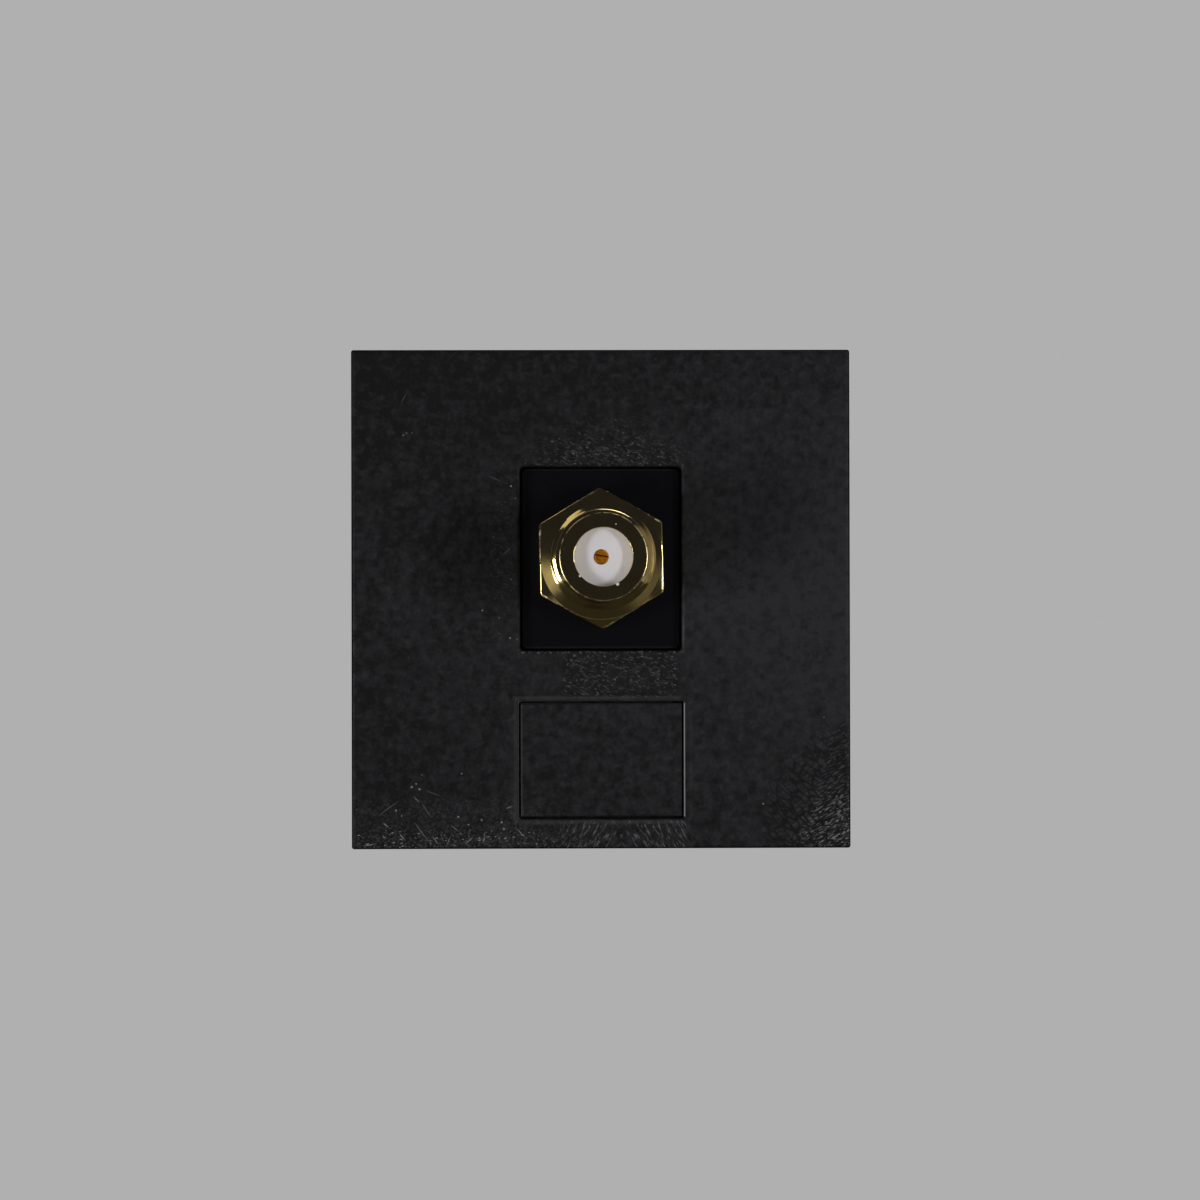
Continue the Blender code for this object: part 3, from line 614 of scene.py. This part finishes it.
# %% [markdown]
# ## Rubbed edges and dust on the gold
#
# Spanners and plugs rub the edges of the hexagon and of the barrel. A rubbed edge is rougher, so it gathers
# light from more directions, and that is why all six edges and two rings on the end of the barrel shine
# in the photograph although they face different ways. Three bits of white dust lie around the insulator.

# %% The gold with its rubbed edges
HEX_TURN = math.radians(1.4)
RUBBED_GOLD = (0.95, 0.82, 0.60)
DUST = ((-2.07, -1.69, 0.14), (1.23, -2.40, 0.18), (1.10, 2.87, 0.07))
DUST_WHITE = (0.8, 0.8, 0.8)


def rubbed_gold():
    """Gold flash on turned brass, rubbed along its edges, with a little dust."""
    finish, place, colour, roughness = turned_metal(
        "gold_plated_brass", (0.83, 0.62, 0.22), (0.72, 0.52, 0.18), 0.055, 0.001)
    x, y, z = finish.parts(place)
    radius = (x * x + z * z).math("SQRT")
    angles = (math.pi / 3 * flat - HEX_TURN for flat in range(3))
    beside_flat = most(abs(x * math.cos(angle) + z * math.sin(angle)) for angle in angles)
    patchy = finish.noise(place, 1.6, 2.0).above(0.35, 0.65) * 0.75 + 0.25
    hexagon_edge = beside_flat.above(5.47, 5.50) * y.above(-8.2, -8.0) * y.below(-7.60, -7.40)
    first_ring = radius.above(3.80, 3.83) * radius.below(3.90, 3.94) * y.below(-16.05, -15.95)
    second_ring = radius.above(4.15, 4.17) * radius.below(4.23, 4.26) * y.below(-15.6, -15.5)
    rubbed = hexagon_edge.math("MAXIMUM", first_ring).math("MAXIMUM", second_ring * 0.5) * patchy
    dust = most(
        finish.apart(place, (across, barrel_front, up)).below(size * 0.5, size)
        for across, up, size in DUST)
    worn_colour = finish.blend(rubbed * 0.5, colour, RUBBED_GOLD)
    finish.wear(
        base_color=finish.blend(dust, worn_colour, DUST_WHITE),
        metallic=1 - dust,
        roughness=roughness + rubbed * 0.30 + dust * 0.3,
    )
    return finish.material


# %% One material for each finish
BRONZE = ((1.0, 0.44, 0.03), (0.85, 0.34, 0.02))
NICKEL = ((0.62, 0.60, 0.55), (0.50, 0.48, 0.43))
materials = {
    "cover": grained_black(),
    "insert": polished_black(),
    "carrier": moulded_black(),
    "insulator": white_insulator(),
    "gold": rubbed_gold(),
    "bronze": turned_metal("contact_bronze", *BRONZE, 0.42, 0.003)[0].material,
    "nickel": turned_metal("nickel_plate", *NICKEL, 0.22, 0.002)[0].material,
}

# %% [markdown]
# ## Moulded pieces keep their solids
#
# The cover, the label plate, the carrier and the insert have their true form in the solids already. They
# come in as triangles with hard shading, so they are welded and their flat faces are freed of inner edges.
# Then the edges that catch light are broken by a few hundredths of a millimetre, as on a real moulding.
# On the cover a wider bevel would fold the walls round its windows over themselves. The carrier has so
# many windows that it keeps its sharp edges.

# %% Soften and finish the moulded pieces
def soften(node, material, break_edge):
    """Give a solid a finish, joined faces and broken edges, without touching its own mesh."""
    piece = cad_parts[node]
    piece.data.materials.clear()
    piece.data.materials.append(material)
    weld = piece.modifiers.new("weld", "WELD")
    weld.merge_threshold = 2e-6
    flat = piece.modifiers.new("flat_faces", "DECIMATE")
    flat.decimate_type = "DISSOLVE"
    flat.angle_limit = math.radians(0.6)
    if break_edge:
        bevel = piece.modifiers.new("broken_edges", "BEVEL")
        bevel.width = break_edge * MM
        bevel.segments = 2
        bevel.limit_method = "ANGLE"
        bevel.angle_limit = math.radians(50)
        bevel.harden_normals = True
    print(node, "keeps its solid, with edges broken by", break_edge, "mm")


soften("front_cover", materials["cover"], 0.02)
soften("label_plate", materials["cover"], 0.02)
soften("carrier_frame", materials["carrier"], 0)
soften("snap_insert", materials["insert"], 0.08)
soften("spring_washer", materials["nickel"], 0.04)
soften("spacer_sleeve", materials["insulator"], 0)
soften("contact_tube", materials["gold"], 0)

# %% [markdown]
# ## Turned pieces as stacks of rings
#
# A turned piece is a profile swept round the axis. Here it is a list of rings with as many points each,
# joined one to the next, and the last to the first, which closes the piece through its bore. A ring needn't
# be round: the hexagon is a ring whose radius follows its six sides, so that the whole shell is one skin.

# %% Rings and the skin between them
COLUMNS = 180
column_angles = [math.tau * column / COLUMNS - HEX_TURN for column in range(COLUMNS)]


def on_axis(radius, depth, angle, aside=0.0):
    """A point at a radius from the socket's axis. The angle starts upwards and grows to the right."""
    across = radius * math.sin(angle) + aside
    return Vector((across, depth, radius * math.cos(angle) + AXIS_HEIGHT)) * MM


def ring(form, radius, depth, aside=0.0):
    """One ring of points. Radius and depth are numbers, or functions of the angle."""
    points = []
    for angle in column_angles:
        r = radius(angle) if callable(radius) else radius
        y = depth(angle) if callable(depth) else depth
        points.append(form.verts.new(on_axis(r, y, angle, aside)))
    return points


def skin(form, rings):
    """Faces between each ring and the next."""
    for first, second in zip(rings, rings[1:]):
        for column in range(len(first)):
            following = (column + 1) % len(first)
            form.faces.new((first[column], first[following], second[following], second[column]))


def eased(profile, size, steps=3):
    """A profile of (radius, depth) points with its inner corners rounded by a given size.

    One more point on each side of a rounding keeps the shading of the flat beside it flat.
    """
    points = [profile[0]]
    for before, corner, after in zip(profile, profile[1:], profile[2:]):
        start, middle, end = Vector(before), Vector(corner), Vector(after)
        room_before = min(size, (start - middle).length * 0.40)
        room_after = min(size, (end - middle).length * 0.40)
        backward, forward = (start - middle).normalized(), (end - middle).normalized()
        first, last = middle + backward * room_before, middle + forward * room_after
        points.append(tuple(first + backward * room_before * 0.2))
        for step in range(steps + 1):
            t = step / steps
            points.append(tuple(first.lerp(middle, t).lerp(middle.lerp(last, t), t)))
        points.append(tuple(last + forward * room_after * 0.2))
    return points + [profile[-1]]


def as_piece(form, name, material):
    """Turn a form into an object of the scene that wears a material."""
    mesh = bpy.data.meshes.new(name)
    form.to_mesh(mesh)
    form.free()
    mesh.materials.append(material)
    piece = bpy.data.objects.new(name, mesh)
    bpy.context.scene.collection.objects.link(piece)
    return piece


def finished(form, name, material, stands_for):
    """Turn a form into a piece that stands for a solid, rides with the outlet and has its finish."""
    bmesh.ops.remove_doubles(form, verts=form.verts, dist=2e-7)
    bmesh.ops.dissolve_degenerate(form, edges=form.edges, dist=1e-8)
    bmesh.ops.recalc_face_normals(form, faces=form.faces)
    open_edges = sum(not edge.is_manifold for edge in form.edges)
    piece = as_piece(form, name, material)
    piece.data.shade_smooth()
    piece.data.set_sharp_from_angle(angle=math.radians(40))
    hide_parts(stands_for)
    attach(piece, "root")
    print(name, "has", len(piece.data.polygons), "faces and", open_edges, "open edges")


# %% [markdown]
# ## The thread
#
# The barrels carry a fine coaxial thread: 32 turns to the inch, so a pitch of 0.794 mm, with flanks of 60
# degrees. If the rings were level, the crest would cross them and look like a staircase. So the rows of
# the thread climb with it: a row rises by one pitch over a full turn and ends as a later row begins, and
# crest and root run along clean rows. What would pass an end of the thread is held at that end, with the
# radius that the thread has there.

# %% A climbing grid of rows
PITCH = 25.4 / 32
THREAD_RADIUS = 4.65
THREAD_DEPTH = 0.46
ROWS_PER_TURN = 12


def thread_radius(turns):
    """Radius of the thread at a share of its turn: a crest, two flanks and a root, all rounded."""
    share = abs((turns % 1.0) * 2 - 1)
    flank = min(max((share - 0.16) / 0.68, 0.0), 1.0)
    return THREAD_RADIUS - THREAD_DEPTH * (flank * 0.7 + flank * flank * (3 - 2 * flank) * 0.3)


def climb(angle):
    """How far a row of the thread has climbed at an angle."""
    return PITCH * (angle + HEX_TURN) / math.tau


def radius_in_thread(front, depth, angle, limit):
    """Radius of the skin of a thread that starts at the front depth, at another depth and an angle."""
    return min(thread_radius((depth - front - climb(angle)) / PITCH), limit(depth))


def threaded(form, front, back, limit):
    """The skin of a thread between two depths. The limit gives the largest radius at a depth."""
    step = PITCH / ROWS_PER_TURN
    count = math.ceil((back - front + PITCH) / step) + 1
    rows = []
    for row in range(count):
        start = front - PITCH + row * step
        points = []
        for angle in column_angles:
            depth = min(max(start + climb(angle), front), back)
            radius = radius_in_thread(front, depth, angle, limit)
            points.append(form.verts.new(on_axis(radius, depth, angle)))
        rows.append(points)
    for row in range(count - 1):
        lower = rows[row] + [rows[min(row + ROWS_PER_TURN, count - 1)][0]]
        upper = rows[row + 1] + [rows[min(row + 1 + ROWS_PER_TURN, count - 1)][0]]
        for column in range(COLUMNS):
            corners = (lower[column], lower[column + 1], upper[column + 1], upper[column])
            places = {tuple(round(value, 8) for value in corner.co) for corner in corners}
            if len(places) > 2 and len(set(corners)) == 4:
                form.faces.new(corners)


print("the thread has a pitch of", round(PITCH, 3), "mm")

# %% [markdown]
# ## Hexagons
#
# The hexagon on the shell and the nut behind it are cut from the same bar, 11.1 mm across its flats. The
# lathe turns the corners off at a slant of 20 degrees, which leaves a round edge on the flat face. Every
# edge is broken by less than a tenth of a millimetre. Those thin bevels draw the bright outline around the
# hexagon in the photograph.

# %% Rings around a hexagon
HEX_ACROSS = 11.1
HEX_FLAT_RADIUS = 5.47
HEX_SLOPE = math.tan(math.radians(20))
HEX_CROWN = math.tan(math.radians(5))
HEX_BREAK = 0.085


def hex_radius(angle):
    """Distance from the axis to the side of the hexagon at an angle."""
    from_flat = ((angle + HEX_TURN) % (math.pi / 3)) - math.pi / 6
    return min(HEX_ACROSS / 2 / math.cos(from_flat), 6.34)


def hex_drop(radius):
    """How far the face lies back at a radius: it is slightly domed, then slopes more at the corners."""
    crown = (HEX_FLAT_RADIUS - min(radius, HEX_FLAT_RADIUS)) * HEX_CROWN
    return max(radius - HEX_FLAT_RADIUS, 0) * HEX_SLOPE - crown


def hex_edge(form, level, inward, share):
    """A ring on the broken edge of the hexagon. Share 0 is on the face at a level, and 1 on the side."""
    def spot(angle):
        radius = hex_radius(angle)
        on_face = Vector((radius - HEX_BREAK, level + inward * hex_drop(radius - HEX_BREAK)))
        corner = Vector((radius, level + inward * hex_drop(radius)))
        on_side = corner + Vector((0, inward * HEX_BREAK))
        return on_face.lerp(corner, share).lerp(corner.lerp(on_side, share), share)

    return ring(form, lambda angle: spot(angle)[0], lambda angle: spot(angle)[1])


def hex_face(form, level, inward, past_flat, keep_off):
    """A ring on the face of the hexagon: so far past its flat part, and at least so far off its edge."""
    def radius(angle):
        return min(HEX_FLAT_RADIUS + past_flat, hex_radius(angle) - HEX_BREAK - keep_off)

    return ring(form, radius, lambda angle: level + inward * hex_drop(radius(angle)))


def hex_sides(form, front, back):
    """The rings from the front face of a hexagon over its sides to its back face."""
    rings = []
    for past_flat, keep_off in ((-0.03, 0.045), (0.0, 0.04), (0.03, 0.035), (1.0, 0.03)):
        rings.append(hex_face(form, front, 1, past_flat, keep_off))
    rings += [hex_edge(form, front, 1, share / 4) for share in range(5)]
    rings += [hex_edge(form, back, -1, 1 - share / 4) for share in range(5)]
    rings.append(hex_face(form, back, -1, 0.0, 0.04))
    return rings


print("the hexagon's corner is", round(hex_radius(0), 2), "mm from the axis")

# %% [markdown]
# ## The shell
#
# The shell is turned from the bar in one piece: a lip around the insulator, a flat end, a chamfer, a short
# pilot as thin as the root of the thread, the front thread, a relief groove where the tool ran out, the
# hexagon, and the rear thread. The edges of the flat end and of the pilot are the two thin rings that
# shine in the photograph. The skin is made in five parts from front to back that share their edges, and
# joining equal points closes it.

# %% Build the shell
HEX_BACK = insert_front - 0.2
HEX_FRONT = HEX_BACK - 2.4
BORE_RADIUS = 3.35
MOUTH_RADIUS = 2.6
LIP = 0.7
CHAMFER = 0.8
END_RADIUS = THREAD_RADIUS - CHAMFER
PILOT_RADIUS = 4.2
PILOT_END = 0.42
THREAD_START = 0.50
FLANK_SLOPE = math.tan(math.radians(60))
RELIEF_RADIUS = 4.15
RELIEF_START = HEX_FRONT - 1.4
RELIEF_FLOOR = HEX_FRONT - 0.9
REAR_START = HEX_BACK + 0.3


def front_limit(depth):
    """Largest radius on the front barrel: the slope out of its pilot and the slope into the relief."""
    rise = (depth - barrel_front - PILOT_END) * FLANK_SLOPE
    rise -= max(rise - 0.36, 0) * 0.6
    return min(PILOT_RADIUS + rise, THREAD_RADIUS - max(depth - RELIEF_START, 0))


def rear_limit(depth):
    """Largest radius on the rear barrel: it starts at a relief and ends in a chamfer."""
    return min(END_RADIUS + barrel_back - depth, RELIEF_RADIUS + depth - REAR_START)


def build_shell():
    """The whole shell as one closed skin."""
    form = bmesh.new()
    inside = barrel_front + 3.0
    start = barrel_front + THREAD_START
    front_end = eased([
        (BORE_RADIUS, inside), (BORE_RADIUS, barrel_front + LIP), (MOUTH_RADIUS, barrel_front + LIP),
        (MOUTH_RADIUS, barrel_front), (END_RADIUS, barrel_front),
        (PILOT_RADIUS, barrel_front + PILOT_RADIUS - END_RADIUS), (PILOT_RADIUS, barrel_front + PILOT_END),
        (front_limit(start), start),
    ], 0.05)
    rings = [ring(form, radius, depth) for radius, depth in front_end]
    rings.append(ring(form, lambda angle: radius_in_thread(start, start, angle, front_limit), start))
    skin(form, rings)
    threaded(form, start, RELIEF_FLOOR, front_limit)
    neck = eased([
        (RELIEF_RADIUS, RELIEF_FLOOR), (RELIEF_RADIUS, HEX_FRONT + hex_drop(RELIEF_RADIUS)),
        (HEX_FLAT_RADIUS - 0.15, HEX_FRONT + hex_drop(HEX_FLAT_RADIUS - 0.15)),
    ], 0.12)
    rings = [ring(form, radius, depth) for radius, depth in neck]
    rings += hex_sides(form, HEX_FRONT, HEX_BACK)
    rings += [ring(form, RELIEF_RADIUS, HEX_BACK), ring(form, RELIEF_RADIUS, REAR_START)]
    skin(form, rings)
    threaded(form, REAR_START, barrel_back - 0.1, rear_limit)
    rear_end = eased([
        (END_RADIUS + 0.1, barrel_back - 0.1), (END_RADIUS, barrel_back), (MOUTH_RADIUS, barrel_back),
        (MOUTH_RADIUS, barrel_back - LIP), (BORE_RADIUS, barrel_back - LIP), (BORE_RADIUS, inside),
    ], 0.05)
    skin(form, [ring(form, radius, depth) for radius, depth in rear_end])
    finished(form, "threaded_shell", materials["gold"], "connector_shell")


build_shell()

# %% [markdown]
# ## The nut
#
# The nut inside the insert clamps the shell to it. It is a slice of the same hexagon bar with a threaded
# bore and both faces turned off at the corners.

# %% Build the nut
def build_nut():
    """The thin nut, with a chamfer at both ends of its bore."""
    form = bmesh.new()
    front, back = reach("jam_nut", 1, 0), reach("jam_nut", 1, 1)
    bore = THREAD_RADIUS + 0.15
    rings = [ring(form, bore + 0.3, front)]
    rings += hex_sides(form, front, back)
    rings += [
        ring(form, bore + 0.3, back), ring(form, bore, back - 0.3), ring(form, bore, front + 0.3),
        ring(form, bore + 0.3, front),
    ]
    skin(form, rings)
    finished(form, "clamping_nut", materials["gold"], "jam_nut")


build_nut()

# %% [markdown]
# ## The insulators
#
# A white plug sits behind the lip at each end. It has a small hole for the wire of the cable. In the
# photograph the hole of the front one stands a little left of the middle, as a drilled hole does, so it is
# moved aside here by less than the play that the wire has.

# %% Build the insulators
INSULATOR_RADIUS = 3.25
INSULATOR_LENGTH = 4.0
ENTRY_RADIUS = 0.67
TUBE_SEAT = 1.1


def build_insulator(name, stands_for, level, inward, aside):
    """One plug with its entry hole, whose edge is eased for the wire."""
    form = bmesh.new()
    back = level + inward * INSULATOR_LENGTH
    step = level + inward * 0.9
    outer = eased([
        (ENTRY_RADIUS + 0.7, level), (INSULATOR_RADIUS, level), (INSULATOR_RADIUS, back),
        (TUBE_SEAT, back), (TUBE_SEAT, step),
    ], 0.12)
    hole = eased([(ENTRY_RADIUS, step), (ENTRY_RADIUS, level), (ENTRY_RADIUS + 0.3, level)], 0.07)
    rings = [ring(form, radius, depth, aside) for radius, depth in hole]
    rings += [ring(form, radius, depth) for radius, depth in outer]
    rings.append(rings[0])
    skin(form, rings)
    finished(form, name, materials["insulator"], stands_for)


front_level = reach("front_insulator", 1, 0)
rear_level = reach("rear_insulator", 1, 1)
HOLE_ASIDE = -0.18
build_insulator("front_plug_insulator", "front_insulator", front_level, 1, HOLE_ASIDE)
build_insulator("rear_plug_insulator", "rear_insulator", rear_level, -1, 0.0)

# %% [markdown]
# ## The contact springs
#
# Behind each entry hole stand two bronze leaves with a slit between them, which grip the wire. The slit is
# sawn a little above the middle, as in the photograph, and the tips are rounded, so that the wire finds its
# way in. Each leaf is a half-round bar whose outline shrinks in a few steps towards the tip.

# %% Build the contact springs
SPRING_RADIUS = 0.63
HALF_SLIT = 0.042
SLIT_RISE = 0.11
SPRING_TURN = math.radians(-10.5)
TIP_STEPS = ((0.0, 0.15), (0.02, 0.08), (0.06, 0.03), (0.12, 0.0))
SLIT_END = 4.2
SHANK = ((0.01, SLIT_END), (SPRING_RADIUS, SLIT_END), (SPRING_RADIUS, 6.0), (0.01, 6.0))


def leaf_outline(inset, rise):
    """A half-round outline above the slit, drawn in from its full size by an inset."""
    radius = SPRING_RADIUS - inset
    low = HALF_SLIT + rise + inset * 0.6
    start = math.asin(low / radius)
    return [
        (radius * math.cos(angle), radius * math.sin(angle))
        for angle in (start + (math.pi - 2 * start) * step / 24 for step in range(25))
    ]


def build_spring(name, stands_for, tip, inward, aside):
    """Two leaves, one above and one below the slit, and the round shank that holds them."""
    form = bmesh.new()
    for side, rise in ((0, SLIT_RISE), (math.pi, -SLIT_RISE)):
        turn = SPRING_TURN + side
        loops = []
        for depth, inset in (*TIP_STEPS, (SLIT_END, 0.0)):
            loops.append([
                form.verts.new(Vector((
                    x * math.cos(turn) - z * math.sin(turn) + aside,
                    tip + inward * depth,
                    x * math.sin(turn) + z * math.cos(turn) + AXIS_HEIGHT,
                )) * MM)
                for x, z in leaf_outline(inset, rise)
            ])
        skin(form, loops)
        form.faces.new(loops[0])
        form.faces.new(loops[-1])
    rings = [ring(form, radius, tip + inward * depth, aside) for radius, depth in SHANK]
    skin(form, rings + rings[:1])
    finished(form, name, materials["bronze"], stands_for)


build_spring("front_contact_leaves", "front_contact_spring", reach("front_contact_spring", 1, 0), 1, -0.14)
build_spring("rear_contact_leaves", "rear_contact_spring", reach("rear_contact_spring", 1, 1), -1, 0.0)

# %% [markdown]
# ## Room and floor
#
# The photograph has an even grey behind the outlet and no shadow in view. So the world shows that grey to
# the camera, and to mirrors that look back into the set, while the side that the camera stands on is a
# dark room, as a photographer keeps it for black gloss. Only far to the right is it lighter: the right
# flank of the barrel is brown where the left one is nearly black. Three soft glows near the camera draw
# the wedges on the hexagon. Each has a direction, a strength, and the angles where it starts to fade and
# where it ends. The pale floor lies below the view and fades out towards its rim, so that other views have
# a shadow and no hard edge. A black card, which only mirrors see, keeps the floor out of the gold.

# %% The room
BACKDROP = (0.434, 0.434, 0.434)
DARK_SIDE = (0.018, 0.020, 0.032)
WINDOW_SIDE = (0.180, 0.175, 0.190)
AMBIENT = (0.17, 0.17, 0.17)
GLOWS = (
    ((-0.155, -0.987, -0.050), 0.55, 0.6, 4.2),
    ((0.174, -0.986, -0.080), 0.12, 1.5, 6.5),
    ((-0.010, -0.985, -0.170), 0.028, 2.0, 9.0),
)

world = bpy.data.worlds.new("studio")
world.use_nodes = True
bpy.context.scene.world = world
room = Tree(world.node_tree)
direction = room.node("TexCoord", output="Generated")
rightwards, backwards, _ = room.parts(direction)
walls = room.blend(rightwards.above(0.68, 0.86), DARK_SIDE, WINDOW_SIDE)
for glow, strength, inner, outer in GLOWS:
    pair = {0: direction, 1: Vector(glow).normalized()}
    nearness = room.node("VectorMath", {"operation": "DOT_PRODUCT"}, pair, "Value")
    nearby = nearness.above(math.cos(math.radians(outer)), math.cos(math.radians(inner)))
    walls = room.blend(nearby, walls, (strength, strength, strength))
mirrored = room.blend(backwards.above(0.25, 0.60), walls, BACKDROP)
glossy = room.node("LightPath", output="Is Glossy Ray")
seen = room.node("LightPath", output="Is Camera Ray").math(
    "MAXIMUM", room.node("LightPath", output="Is Transmission Ray"))
shade = room.blend(seen, room.blend(glossy, AMBIENT, mirrored), BACKDROP)
room.feed(room.nodes["Background"].inputs["Color"], shade)
print("backdrop", BACKDROP[0], "and ambient", AMBIENT[0])

# %% The floor
FLOOR_LEVEL = -105.0
FLOOR_RADIUS = 300.0


def build_floor():
    """A round pale floor whose rim fades out."""
    form = bmesh.new()
    bmesh.ops.create_circle(form, cap_ends=True, segments=96, radius=FLOOR_RADIUS * MM)
    finish = Finish("pale_floor", specular_ior_level=0.1, roughness=0.9)
    place = finish.place()
    fade = finish.apart(place, (0, 0, 0)).below(FLOOR_RADIUS * 0.55, FLOOR_RADIUS * 0.98)
    mottle = finish.noise(place, 0.02, 2.0)
    finish.wear(base_color=finish.blend(mottle, (0.60, 0.60, 0.60), (0.62, 0.62, 0.62)), alpha=fade)
    floor = as_piece(form, "floor", finish.material)
    floor.location.z = FLOOR_LEVEL * MM


build_floor()

# %% The black card
CARD_HALF = (110.0, 60.0)
CARD_PLACE = (0, -35.0, -62.0)


def build_black_card():
    """A black card under the view that only reflections meet."""
    form = bmesh.new()
    bmesh.ops.create_grid(form, x_segments=4, y_segments=4, size=1.0)
    bmesh.ops.scale(form, vec=(CARD_HALF[0] * MM, CARD_HALF[1] * MM, 1.0), verts=form.verts)
    finish = Finish("card_black", specular_ior_level=0.1, roughness=0.9)
    paper = finish.noise(finish.place(), 0.8, 3.0)
    finish.wear(base_color=finish.blend(paper, (0.05, 0.05, 0.05), (0.06, 0.06, 0.06)))
    card = as_piece(form, "black_card", finish.material)
    card.location = Vector(CARD_PLACE) * MM
    card.visible_camera = False
    card.visible_diffuse = False
    card.visible_shadow = False


build_black_card()

# %% [markdown]
# ## Lamps
#
# The lights on the gold say where the lamps stood. The white crescent on the first flank of the thread
# needs a lamp 57 degrees to the left and a little below the socket. The bright right edge of the hexagon
# needs one 50 degrees to the right, nearly level with the socket, and the arc at the upper left a weak one,
# high up. Their power is set so that a white card in place of the face would come out just below white,
# and a black surface as dark as it is written. A lamp behind gives the back its shape in other views.

# %% Hang the lamps
def softbox(name, azimuth, elevation, distance, size, watts):
    """An area lamp aimed at the socket, placed by degrees from straight ahead and by metres."""
    lamp = bpy.data.lights.new(name, "AREA")
    lamp.shape = "RECTANGLE"
    lamp.size, lamp.size_y = size
    lamp.energy = watts
    holder = bpy.data.objects.new(name, lamp)
    turn, rise = math.radians(azimuth), math.radians(elevation)
    aim = Vector((0, face, AXIS_HEIGHT)) * MM
    outward = Vector((math.sin(turn) * math.cos(rise), -math.cos(turn) * math.cos(rise), math.sin(rise)))
    holder.location = aim + outward * distance
    holder.rotation_euler = outward.to_track_quat("Z", "Y").to_euler()
    holder.visible_camera = False
    bpy.context.scene.collection.objects.link(holder)
    print(name, "at", azimuth, "degrees with", watts, "W")


softbox("key_softbox", -57, -13, 0.9, (0.17, 0.34), 3.5)
softbox("fill_softbox", 50, -3, 1.0, (0.16, 0.40), 3.4)
softbox("side_softbox", -50, 45, 0.9, (0.34, 0.38), 0.28)
softbox("rear_softbox", 150, 62, 1.2, (0.70, 0.50), 5.0)

# %% [markdown]
# ## The view transform

# %% Set the view transform
bpy.context.scene.view_settings.view_transform = "Standard"
